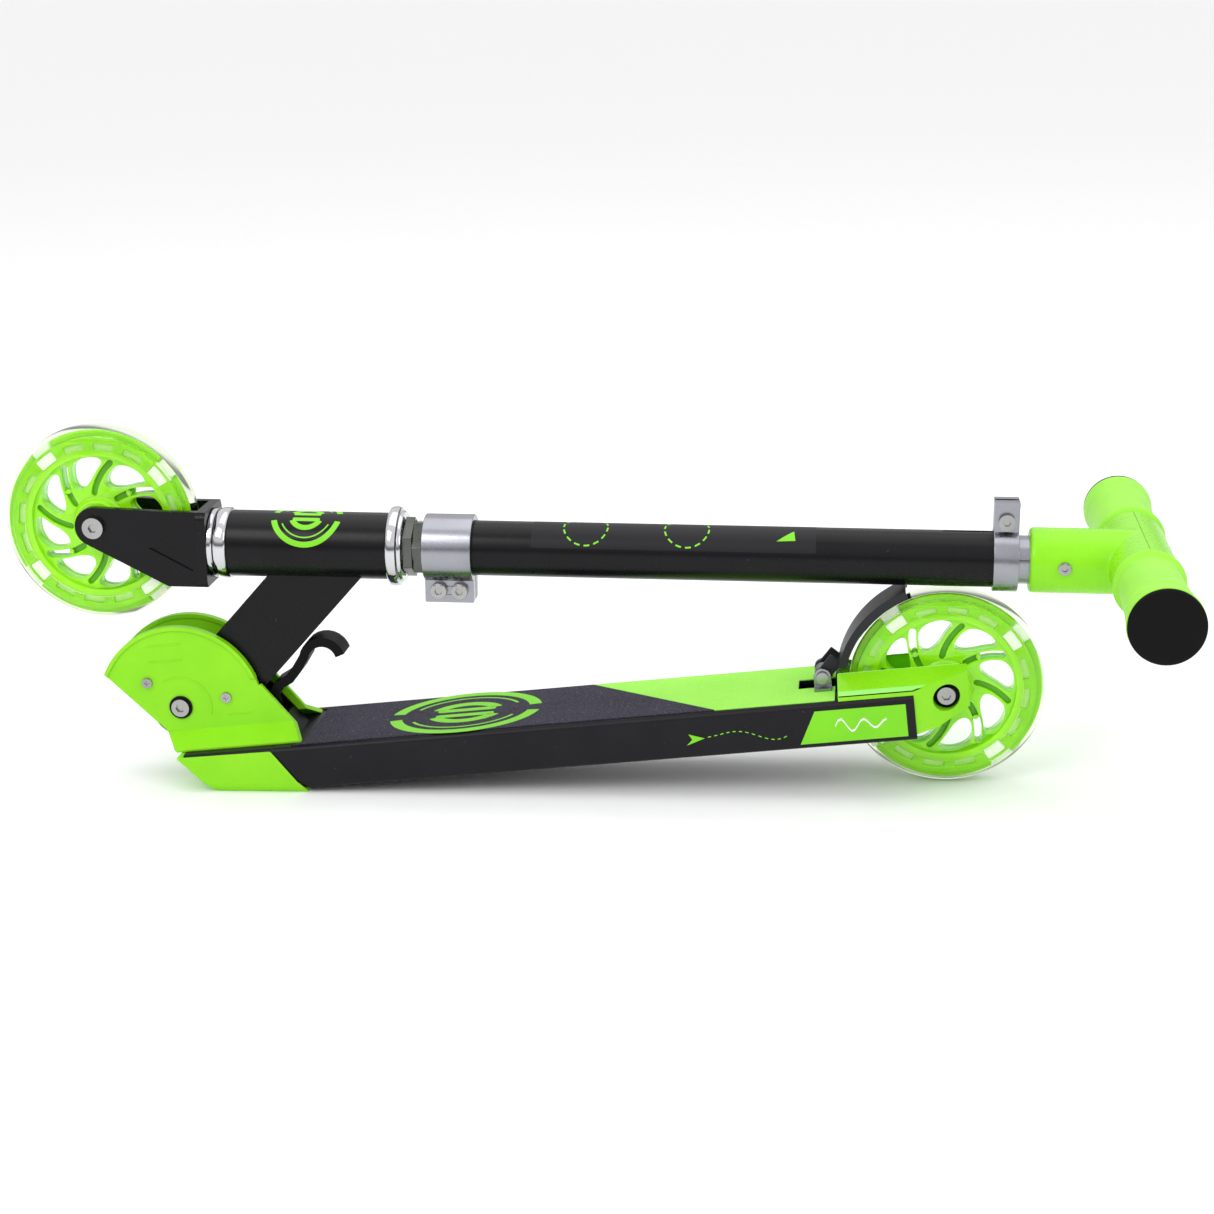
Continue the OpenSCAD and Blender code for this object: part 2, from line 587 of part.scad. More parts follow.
latch_w = 18;
hook_at = [90, 19.5];
hook_r = 11.5;
module latch_outline() strip(concat([latch_at, [56.6, 1.5], [60.5, 6], [68, 9.6], [73.5, 15.5]],
    [for (a = [164 : -14 : 10]) hook_at + hook_r * [cos(a), sin(a)]]), 5.8);
latch_boss_r = 6.6;
module latch_lever() color("#202024") on_deck() difference() {
    union() {
        side_plate(-latch_w / 2, latch_w / 2) latch_outline();
        side_plate(-latch_w / 2, latch_w / 2) strip([latch_at + [3, 0.8], [29, -14.6]], 7);
        translate([latch_at.x, 0, latch_at.y]) pin_y(latch_boss_r, -latch_w / 2, latch_w / 2);
    }
    pin_y(neck_end_r + part_gap + 1, -40, 40);
    translate([latch_at.x, 0, latch_at.y]) pin_y(latch_r + run_gap, -40, 40);
    translate([latch_at.x, 0, latch_at.y]) pin_y(latch_boss_r + 1, -5, 5);
}
module latch_pin() color(steel) on_deck() translate([latch_at.x, 0, latch_at.y])
    pin_y(latch_r, -wall_out + 0.1, wall_out - 0.1);
module latch_spring() color("#9a9ca0") on_deck() translate([latch_at.x, 0, latch_at.y])
    for (i = [-2 : 2]) translate([0, i * 1.7, 0]) rotate([90, 0, 0])
        rotate_extrude() translate([4.3, 0]) circle(0.75, $fn = 16);

// ---- Steering ----

leg_in = wheel_w / 2 + 1.5;
leg_t = 4.5;
leg_out = leg_in + leg_t;
leg_end_r = 12;
crown_low = -23.5;
crown_high = 22.6;
crown_from = axle_x + wheel_r - 15.9;
leg_arc_steps = 16;
module leg_outline() {
    c = [axle_x, rake];
    from = touch_angle(c, leg_end_r, [crown_from, crown_high], 1);
    to = touch_angle(c, leg_end_r, [crown_from, crown_low], -1) + 360;
    polygon(concat([for (i = [0 : leg_arc_steps]) let (a = from + (to - from) * i / leg_arc_steps)
        c + leg_end_r * [cos(a), sin(a)]], [[crown_from, crown_low], [crown_x, crown_low],
        [crown_x, crown_high], [crown_from, crown_high]]));
}
module fork() color(satin_black) on_column() difference() {
    union() {
        for (s = [-1, 1]) side_plate(s * (leg_in + leg_t / 2) - leg_t / 2,
            s * (leg_in + leg_t / 2) + leg_t / 2) leg_outline();
        bar_along(crown_x - crown_t, crown_x) translate([0, (crown_high + crown_low) / 2])
            rounded_rect(2 * leg_out + 4, crown_high - crown_low, 5);
    }
    translate([axle_x, 0, rake]) pin_y(axle_r + seat_gap, -40, 40);
    pin_x(steerer_r + seat_gap, crown_x - crown_t - 1, crown_x + 1);
    for (s = [-1, 1]) scale([1, s, 1]) side_plate(leg_out - 1.2, leg_out + 4) intersection() {
        polygon([[crown_x - 36, rake - 12], [crown_x - 20, 1], [crown_x - 9, -1], [crown_x - 9, -14]]);
        translate([-big, -big / 2]) square([big + crown_x - crown_t - 1, big]);
    }
}
module steerer() color("#6a6c70") on_column()
    ring_x(steerer_r, steerer_r - 2.4, crown_x - crown_t, column_x + 48);
module crown_race() color(steel) on_column()
    ring_x(cup_r - 1.2, steerer_r + seat_gap, crown_x + seat_gap, crown_x + crown_race_h);
nut_r = steerer_r + 4.2;
module headset_nuts() color("#7a8078") on_column() difference() {
    for (i = [0, 1]) translate([nuts_x + i * nut_h + i * 0.1, 0, 0]) rotate([0, 90, 0])
        rotate(i * 20) cylinder(r = nut_r - i, h = nut_h, $fn = 6);
    pin_x(steerer_r + seat_gap, 0, big);
}
clamp_bolt_x = [clamp_x + 8.6, clamp_x + 21.2];
clamp_bolt_z = -column_r - 8;
clamp_ear_y = 8.5;
module lower_clamp() color("#c4c6c8") on_column() difference() {
    union() {
        pin_x(clamp_r, clamp_x, clamp_x + lower_clamp_len);
        translate([clamp_x, -clamp_ear_y, -column_r - 15.5])
            cube([lower_clamp_len, 2 * clamp_ear_y, 20]);
    }
    pin_x(column_r + seat_gap, column_x, big);
    pin_x(steerer_r + seat_gap, 0, big);
    translate([clamp_x - 1, -1.2, -50]) cube([lower_clamp_len + 2, 2.4, 50]);
    for (x = clamp_bolt_x) translate([x, 0, clamp_bolt_z]) pin_y(2.5 + seat_gap, -40, 40);
}
module lower_clamp_bolts() color(steel) on_column() for (x = clamp_bolt_x)
    translate([x, 0, clamp_bolt_z]) difference() {
        union() {
            pin_y(2.5, -clamp_ear_y - 1, clamp_ear_y + 4);
            pin_y(4.9, -clamp_ear_y - 3.6, -clamp_ear_y - seat_gap);
            translate([0, clamp_ear_y + 4 + seat_gap, 0]) rotate([90, 0, 0])
                cylinder(r = 4.6, h = 4, $fn = 6);
        }
        translate([0, -clamp_ear_y - 2, 0]) rotate([90, 0, 0]) cylinder(r = 2.3, h = 4, $fn = 6);
    }
module column_tube() color(satin_black) on_column() difference() {
    ring_x(column_r, column_bore, column_x, column_end);
    translate([column_x - 1, -1.2, -50]) cube([35, 2.4, 50]);
    translate([column_end - 30, -1.2, 0]) cube([40, 2.4, 50]);
}
hc_r = column_r + 2.4;
hc_bolt_z = column_r + 7.5;
hc_bolt_x = height_clamp_x + height_clamp_len / 2;
module height_clamp() color(steel) on_column() difference() {
    union() {
        pin_x(hc_r, height_clamp_x, height_clamp_x + height_clamp_len);
        for (s = [-1, 1]) translate([height_clamp_x, s > 0 ? 2 : -6.5, column_r - 4.5])
            cube([height_clamp_len, 4.5, 24]);
        translate([height_clamp_x, -9.5, column_r + 16.5]) cube([height_clamp_len, 7.5, 3]);
    }
    pin_x(column_r + seat_gap, 0, column_end + seat_gap);
    pin_x(column_bore + 0.3, 0, big * 2);
    translate([height_clamp_x - 1, -2, 0]) cube([height_clamp_len + 2, 4, 60]);
    translate([hc_bolt_x, 0, hc_bolt_z]) pin_y(2.5 + seat_gap, -40, 40);
}
module height_clamp_bolt() color(steel) on_column() translate([hc_bolt_x, 0, hc_bolt_z]) difference() {
    union() {
        pin_y(2.5, -8, 9.4);
        pin_y(4.8, -10, -6.5 - seat_gap);
    }
    translate([0, -8.6, 0]) rotate([90, 0, 0]) cylinder(r = 2.2, h = 4, $fn = 6);
}
qr_y = 15;
qr_r = 5;
arm_r = hc_r + 3.6;
arm_t = 2.4;
arm_steps = 14;
arm_turn = 100;
cam_angle = atan2(hc_bolt_z, qr_y) - 2;
// A point of the arm: it starts at the cam and closes in on the clamp
function arm_point(i, depth) = let (a = cam_angle - i * arm_turn / arm_steps)
    (arm_r + 5 * pow(1 - i / arm_steps, 3) - depth) * [cos(a), sin(a)];
// The lever's arm curls round the far side of the column, down from its cam.
module quick_release_lever() color("#b4b6ba") on_column() {
    bar_along(hc_bolt_x - 5, hc_bolt_x + 5) translate([qr_y, hc_bolt_z]) circle(qr_r);
    bar_along(hc_bolt_x - 4.6, hc_bolt_x + 4.6) polygon(concat(
        [for (i = [0 : arm_steps]) arm_point(i, 0)],
        [for (i = [arm_steps : -1 : 0]) arm_point(i, arm_t)]));
}
module front_axle_bolt() color(steel) at_front_axle() axle_bolt(leg_out, axle_r + 2.4);
module front_axle_nut() color(steel) at_front_axle() axle_nut(leg_out);

// ---- Handlebar ----

inner_r = column_bore - 0.1;
module inner_tube() color(steel) on_column() difference() {
    ring_x(inner_r, inner_r - 1.8, inner_x, bar_x - bar_r - 3);
    translate([tee_bolt_x, 0, 0]) pin_y(2.5 + seat_gap, -40, 40);
}
tee_bolt_x = stem_x + 19.8;
module tee_body() {
    pin_x(tee_r, stem_x, bar_x);
    translate([bar_x, 0, 0]) pin_y(tee_r, -tee_w / 2, tee_w / 2);
}
module tee_stem() color("#86e81f") on_column() difference() {
    intersection() {
        tee_body();
        translate([-big, -big, -big]) cube([big + bar_x - seat_gap, 2 * big, 2 * big]);
    }
    pin_x(inner_r + seat_gap, 0, bar_x - bar_r - 2);
    translate([bar_x, 0, 0]) pin_y(bar_r + seat_gap, -big, big);
    translate([tee_bolt_x, 0, 0]) pin_y(2.5 + seat_gap, -40, 40);
    for (s = [-1, 1]) scale([1, s, 1]) translate([tee_bolt_x, 0, 0]) pin_y(4, tee_r - 0.6, big);
}
module tee_cap() color("#86e81f") on_column() difference() {
    intersection() {
        translate([bar_x, 0, 0]) pin_y(tee_r, -tee_w / 2, tee_w / 2);
        translate([bar_x + seat_gap, -big, -big]) cube([big, 2 * big, 2 * big]);
    }
    translate([bar_x, 0, 0]) pin_y(bar_r + seat_gap, -big, big);
}
module tee_bolt() color(steel) on_column() translate([tee_bolt_x, 0, 0]) difference() {
    union() {
        pin_y(2.5, -tee_r, tee_r);
        for (s = [-1, 1]) scale([1, s, 1]) pin_y(3.8, tee_r - 0.6, tee_r + 1.4);
    }
    translate([0, -tee_r, 0]) rotate([90, 0, 0]) cylinder(r = 1.9, h = 4, $fn = 6);
}
module handlebar_tube() color(steel) on_column() translate([bar_x, 0, 0])
    ring_y(bar_r, bar_r - 1.6, -bar_w / 2 + cap_t + 1, bar_w / 2 - cap_t - 1);
grip_from = tee_w / 2 + 0.4;
grip_to = bar_w / 2 - cap_t;
waist_r = grip_r - 4.2;
// Radius of a grip along its length: a bead at the tee, a waist and a wide flange at the end
function grip_radius(t) = waist_r + (grip_r - waist_r) * pow(t, 2.2)
    + (grip_r - waist_r - 1.4) * max(0, 1 - t * 5.5);
grip_steps = 12;
module grip(s) color("#92e83a") on_column() translate([bar_x, 0, 0]) rotate([s > 0 ? -90 : 90, 0, 0])
    rotate_extrude() polygon(concat([[bar_r + seat_gap, grip_from]],
        [for (i = [0 : grip_steps]) let (t = i / grip_steps)
            [grip_radius(t) - (i == 0 || i == grip_steps ? 1 : 0), grip_from + t * (grip_to - grip_from)]],
        [[bar_r + seat_gap, grip_to]]));
module left_grip() grip(-1);
module right_grip() grip(1);
module end_caps() color("#121214") on_column() translate([bar_x, 0, 0]) for (s = [-1, 1])
    rotate([s > 0 ? -90 : 90, 0, 0]) {
        translate([0, 0, grip_to + seat_gap]) cylinder(r = grip_r - 1, h = cap_t - seat_gap);
        translate([0, 0, grip_to - 12]) cylinder(r = bar_r - 1.7, h = 12.1);
    }

deck();
grip_tape();
rear_grip_panel();
side_labels();
nose_cap();
hinge_bracket();
hinge_cover_left();
hinge_cover_right();
hinge_screws();
fold_pivot_bolt();
fold_pivot_washer();
fold_pivot_nut();
rear_dropout_left();
rear_dropout_right();
rear_axle_bolt();
rear_axle_nut();
rear_axle_spacers();
brake_bracket();
brake_pin();
brake_spring();
brake_fender();
rear_wheel_core();
rear_tyre();
rear_bearings();
rear_bearing_sleeve();
rear_light_modules();
head_tube();
neck();
pivot_bush();
lower_headset_cup();
upper_headset_cup();
headset_bearings();
latch_lever();
latch_pin();
latch_spring();
fork();
steerer();
crown_race();
headset_nuts();
lower_clamp();
lower_clamp_bolts();
column_tube();
height_clamp();
height_clamp_bolt();
quick_release_lever();
front_axle_bolt();
front_axle_nut();
front_wheel_core();
front_tyre();
front_bearings();
front_bearing_sleeve();
front_light_modules();
inner_tube();
tee_stem();
tee_cap();
tee_bolt();
handlebar_tube();
left_grip();
right_grip();
end_caps();
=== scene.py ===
"""Looks of the folded kick scooter: finishes, turned and moulded pieces, prints, light and camera."""

import json
import logging
import math
from dataclasses import dataclass, field, replace
from enum import Enum
from typing import Iterable, Optional, Sequence

import bmesh
import bpy
from mathutils import Matrix, Vector

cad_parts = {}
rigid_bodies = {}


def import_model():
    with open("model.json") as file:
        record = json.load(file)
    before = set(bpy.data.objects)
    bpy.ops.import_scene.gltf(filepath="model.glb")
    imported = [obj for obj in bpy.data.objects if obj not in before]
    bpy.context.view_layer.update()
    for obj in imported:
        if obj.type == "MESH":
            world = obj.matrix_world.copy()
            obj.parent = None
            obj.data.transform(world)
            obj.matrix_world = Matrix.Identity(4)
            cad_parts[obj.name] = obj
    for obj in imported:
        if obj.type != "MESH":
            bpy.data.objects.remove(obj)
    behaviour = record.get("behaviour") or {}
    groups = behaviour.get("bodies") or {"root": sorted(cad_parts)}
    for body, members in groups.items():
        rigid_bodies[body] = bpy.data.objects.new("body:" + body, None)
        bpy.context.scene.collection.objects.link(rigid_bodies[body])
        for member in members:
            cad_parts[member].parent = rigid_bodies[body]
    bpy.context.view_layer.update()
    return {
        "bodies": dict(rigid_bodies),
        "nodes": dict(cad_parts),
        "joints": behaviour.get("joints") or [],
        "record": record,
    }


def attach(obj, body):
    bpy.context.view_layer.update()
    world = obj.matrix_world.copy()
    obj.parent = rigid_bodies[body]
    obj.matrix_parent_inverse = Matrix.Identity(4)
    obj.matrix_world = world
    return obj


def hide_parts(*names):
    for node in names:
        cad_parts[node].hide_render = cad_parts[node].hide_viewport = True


log = logging.getLogger("scooter")
MM = 0.001
Point2 = tuple[float, float]
Colour = tuple[float, float, float]


# ---- Camera and light ----


@dataclass(frozen=True)
class StudioCamera:
    """The camera's place and direction, in metres and degrees."""

    place: tuple[float, float, float] = (0.1728, -1.3737, 0.4919)
    turn: float = 6.52
    tilt: float = 15.58
    roll: float = -1.565
    lens: float = 70.94
    sensor: float = 36.0

    def build(self) -> None:
        """Make the camera and set it as the scene's."""
        data = bpy.data.cameras.new("studio_camera")
        data.lens = self.lens
        data.sensor_width = self.sensor
        camera = bpy.data.objects.new("studio_camera", data)
        turn, tilt, roll = (math.radians(a) for a in (self.turn, self.tilt, self.roll))
        ahead = Vector((-math.sin(turn) * math.cos(tilt), math.cos(turn) * math.cos(tilt), -math.sin(tilt)))
        level = Vector((math.cos(turn), math.sin(turn), 0.0))
        above = level.cross(ahead)
        right = math.cos(roll) * level + math.sin(roll) * above
        up = right.cross(ahead)
        matrix = Matrix((right, up, -ahead)).transposed().to_4x4()
        matrix.translation = Vector(self.place)
        camera.matrix_world = matrix
        bpy.context.scene.collection.objects.link(camera)
        bpy.context.scene.camera = camera


@dataclass(frozen=True)
class SoftLight:
    """One square area light that points at the scooter."""

    name: str
    place: tuple[float, float, float]
    size: float
    power: float

    def build(self, target: Vector) -> None:
        """Make the light.

        Args:
            target: The point that the light faces.
        """
        data = bpy.data.lights.new(self.name, "AREA")
        data.size = self.size
        data.energy = self.power
        lamp = bpy.data.objects.new(self.name, data)
        lamp.location = self.place
        lamp.rotation_euler = (target - Vector(self.place)).to_track_quat("-Z", "Y").to_euler()
        bpy.context.scene.collection.objects.link(lamp)


@dataclass
class Studio:
    """A pale floor, soft lights and a surround that is brightest overhead."""

    floor_size: float = 120.0
    aim: tuple[float, float, float] = (0.0, 0.0, 0.1)
    blue: float = 1.01
    surround: tuple[Point2, ...] = ((0.0, 0.9), (0.50, 0.9), (0.515, 0.22), (0.57, 0.30), (0.64, 0.95),
                                    (1.0, 1.12))
    lights: tuple[SoftLight, ...] = (
        SoftLight("key_light", (-1.1, -1.9, 2.1), 1.3, 22.0),
        SoftLight("fill_light", (2.0, -1.5, 1.3), 1.0, 11.0),
        SoftLight("top_light", (0.1, 0.4, 2.4), 2.2, 14.0),
    )

    def build_surround(self) -> None:
        """Make the surround, as pairs of a height (0 straight down, 1 straight up) and a brightness."""
        world = bpy.data.worlds.new("studio_surround")
        bpy.context.scene.world = world
        world.use_nodes = True
        tree = world.node_tree
        backdrop = tree.nodes["Background"]
        coords = tree.nodes.new("ShaderNodeTexCoord")
        split = tree.nodes.new("ShaderNodeSeparateXYZ")
        height = tree.nodes.new("ShaderNodeMapRange")
        height.inputs["From Min"].default_value = -1.0
        steps = tree.nodes.new("ShaderNodeValToRGB")
        for k, (place, level) in enumerate(self.surround):
            stop = steps.color_ramp.elements[k] if k < 2 else steps.color_ramp.elements.new(place)
            stop.position = place
            stop.color = (level, level, level * self.blue, 1.0)
        tree.links.new(coords.outputs["Generated"], split.inputs["Vector"])
        tree.links.new(split.outputs["Z"], height.inputs["Value"])
        tree.links.new(height.outputs["Result"], steps.inputs["Fac"])
        tree.links.new(steps.outputs["Color"], backdrop.inputs["Color"])

    def build(self, floor_finish: "Finish") -> None:
        """Make the surround, the floor and the lights.

        Args:
            floor_finish: The finish of the floor.
        """
        bpy.context.scene.view_settings.view_transform = "Standard"
        self.build_surround()
        half = self.floor_size / 2
        mesh = bpy.data.meshes.new("studio_floor")
        corners = [(-half, -half, 0.0), (half, -half, 0.0), (half, half, 0.0), (-half, half, 0.0)]
        mesh.from_pydata(corners, [], [(0, 1, 2, 3)])
        floor = bpy.data.objects.new("studio_floor", mesh)
        bpy.context.scene.collection.objects.link(floor)
        mesh.materials.append(floor_finish.material())
        for light in self.lights:
            light.build(Vector(self.aim))


# ---- Finishes ----


class NodeBench:
    """Adds shader nodes to one material, in the object's own coordinates."""

    def __init__(self, name: str) -> None:
        """Start a material with an empty node tree.

        Args:
            name: The material's name.
        """
        self.material = bpy.data.materials.new(name)
        self.material.use_nodes = True
        self.tree = self.material.node_tree
        self.tree.nodes.clear()
        self.shader = self.tree.nodes.new("ShaderNodeBsdfPrincipled")
        output = self.tree.nodes.new("ShaderNodeOutputMaterial")
        self.link(self.shader.outputs["BSDF"], output.inputs["Surface"])
        self.coords = self.tree.nodes.new("ShaderNodeTexCoord").outputs["Object"]

    def link(self, start: bpy.types.NodeSocket, end: bpy.types.NodeSocket) -> None:
        """Join two sockets."""
        self.tree.links.new(start, end)

    def add(self, kind: str, values: dict[str, object]) -> bpy.types.ShaderNode:
        """Add a node and set its inputs.

        Args:
            kind: The node's type, without its common start.
            values: The value of each named input.

        Returns:
            The node.
        """
        node = self.tree.nodes.new(f"ShaderNode{kind}")
        for name, value in values.items():
            node.inputs[name].default_value = value
        return node

    def stretched(self, factors: Sequence[float]) -> bpy.types.NodeSocket:
        """Scale the object's coordinates along its axes.

        Args:
            factors: The factor along each axis.

        Returns:
            The scaled coordinates.
        """
        node = self.add("Mapping", {"Scale": tuple(factors)})
        self.link(self.coords, node.inputs["Vector"])
        return node.outputs["Vector"]

    def noise(self, scale: float, detail: float = 3.0,
              coords: Optional[bpy.types.NodeSocket] = None) -> bpy.types.NodeSocket:
        """Add a noise pattern.

        Args:
            scale: Waves per metre.
            detail: How many finer layers it has.
            coords: The coordinates, or the object's own.

        Returns:
            The pattern's value.
        """
        node = self.add("TexNoise", {"Scale": scale, "Detail": detail})
        self.link(coords or self.coords, node.inputs["Vector"])
        return node.outputs["Fac"]

    def cells(self, scale: float) -> bpy.types.NodeSocket:
        """Add a pattern of cells.

        Args:
            scale: Cells per metre.

        Returns:
            The distance to the nearest cell's centre.
        """
        node = self.add("TexVoronoi", {"Scale": scale})
        self.link(self.coords, node.inputs["Vector"])
        return node.outputs["Distance"]

    def ranged(self, value: bpy.types.NodeSocket, low: float, high: float,
               from_low: float = 0.3, from_high: float = 0.7) -> bpy.types.NodeSocket:
        """Stretch a value onto a range.

        Args:
            value: The value.
            low: The result at from_low.
            high: The result at from_high.
            from_low: The value's low end.
            from_high: The value's high end.

        Returns:
            The stretched value.
        """
        node = self.add("MapRange", {"From Min": from_low, "From Max": from_high, "To Min": low,
                                     "To Max": high})
        self.link(value, node.inputs["Value"])
        return node.outputs["Result"]

    def mixed(self, first: object, second: object, amount: bpy.types.NodeSocket) -> bpy.types.NodeSocket:
        """Mix two colours.

        Args:
            first: A colour or a socket, shown where amount is 0.
            second: A colour or a socket, shown where amount is 1.
            amount: How much of the second shows.

        Returns:
            The mixed colour.
        """
        node = self.tree.nodes.new("ShaderNodeMix")
        node.data_type = "RGBA"
        self.link(amount, node.inputs[0])
        for socket, value in ((node.inputs[6], first), (node.inputs[7], second)):
            if isinstance(value, tuple):
                socket.default_value = (*value, 1.0)
            else:
                self.link(value, socket)
        return node.outputs[2]

    def bump(self, heights: Iterable[tuple[bpy.types.NodeSocket, float]], edge: float = 0.0) -> None:
        """Chain bumps onto the shader's normal.

        Args:
            heights: Pairs of a height pattern and its depth in metres.
            edge: The radius that the edges are shaded with, in metres.
        """
        normal = None
        if edge > 0:
            soft = self.add("Bevel", {"Radius": edge})
            soft.samples = 6
            normal = soft.outputs["Normal"]
        for height, depth in heights:
            node = self.add("Bump", {"Strength": 1.0, "Distance": depth})
            self.link(height, node.inputs["Height"])
            if normal is not None:
                self.link(normal, node.inputs["Normal"])
            normal = node.outputs["Normal"]
        if normal is not None:
            self.link(normal, self.shader.inputs["Normal"])


@dataclass(frozen=True)
class Finish:
    """A surface finish with a fine grain, a slow colour change and small scuffs."""

    name: str
    colour: Colour
    shade: Colour
    rough: tuple[float, float] = (0.35, 0.5)
    metal: float = 0.0
    grain: float = 900.0
    grain_depth: float = 0.00002
    stretch: tuple[float, float, float] = (1.0, 1.0, 1.0)
    wear: float = 0.0
    wear_colour: Colour = (0.5, 0.5, 0.5)
    coat: float = 0.0
    sheen: float = 0.0
    translucence: float = 0.0
    clear: float = 0.0
    ior: float = 1.5
    # Emission in the finish's own colour; on parts that are no lamp it is painted glow.
    glow: float = 0.0
    gloss: float = 0.5
    edge: float = 0.0

    def material(self) -> bpy.types.Material:
        """Make or find this finish's material.

        Returns:
            The material.
        """
        name = f"{self.name}_surface"
        found = bpy.data.materials.get(name)
        if found is not None:
            return found
        bench = NodeBench(name)
        self.nodes(bench)
        return bench.material

    def nodes(self, bench: NodeBench) -> None:
        """Fill the node tree.

        Args:
            bench: The bench of the new material.
        """
        grain = bench.noise(self.grain, 4.0, bench.stretched(self.stretch))
        slow = bench.noise(38.0, 4.0)
        colour = bench.mixed(self.colour, self.shade, bench.ranged(slow, 0.0, 1.0, 0.35, 0.75))
        if self.wear > 0:
            scuffs = bench.noise(310.0, 6.0)
            worn = bench.ranged(scuffs, 0.0, 1.0, 0.72 - self.wear, 0.76 - self.wear)
            colour = bench.mixed(colour, self.wear_colour, worn)
        bench.link(colour, bench.shader.inputs["Base Color"])
        rough = bench.ranged(grain, self.rough[0], self.rough[1])
        bench.link(rough, bench.shader.inputs["Roughness"])
        bench.bump(((grain, self.grain_depth), (bench.noise(140.0, 2.0), self.grain_depth * 0.8)), self.edge)
        self.sockets(bench)

    def sockets(self, bench: NodeBench) -> None:
        """Set the values that are the same all over.

        Args:
            bench: The bench of the new material.
        """
        values = {
            "Metallic": self.metal, "IOR": self.ior, "Specular IOR Level": self.gloss,
            "Coat Weight": self.coat, "Coat Roughness": 0.08, "Sheen Weight": self.sheen,
            "Transmission Weight": self.clear, "Subsurface Weight": self.translucence,
            "Subsurface Radius": (0.004, 0.008, 0.002), "Subsurface Scale": 1.0,
            "Emission Color": (*self.colour, 1.0), "Emission Strength": self.glow,
        }
        for name, value in values.items():
            bench.shader.inputs[name].default_value = value


@dataclass(frozen=True)
class GritFinish(Finish):
    """A grip sheet: a field of fine grit with pale specks, which are painted sparkle: glints painted into
    its colour.
    """

    grit: float = 1500.0
    # The colour of the glints painted onto the grit.
    painted_sparkle: Colour = (0.22, 0.20, 0.27)

    def nodes(self, bench: NodeBench) -> None:
        """Fill the node tree.

        Args:
            bench: The bench of the new material.
        """
        cells = bench.cells(self.grit)
        speck = bench.noise(self.grit * 0.8, 2.0)
        slow = bench.noise(24.0, 5.0)
        colour = bench.mixed(self.colour, self.shade, bench.ranged(slow, 0.0, 1.0))
        # Pale specks mixed into the colour: painted glints on the grit.
        colour = bench.mixed(colour, self.painted_sparkle, bench.ranged(speck, 0.0, 0.85, 0.56, 0.72))
        bench.link(colour, bench.shader.inputs["Base Color"])
        rough = bench.ranged(cells, self.rough[0], self.rough[1], 0.1, 0.6)
        bench.link(rough, bench.shader.inputs["Roughness"])
        bench.bump(((cells, self.grain_depth), (speck, self.grain_depth)))
        self.sockets(bench)


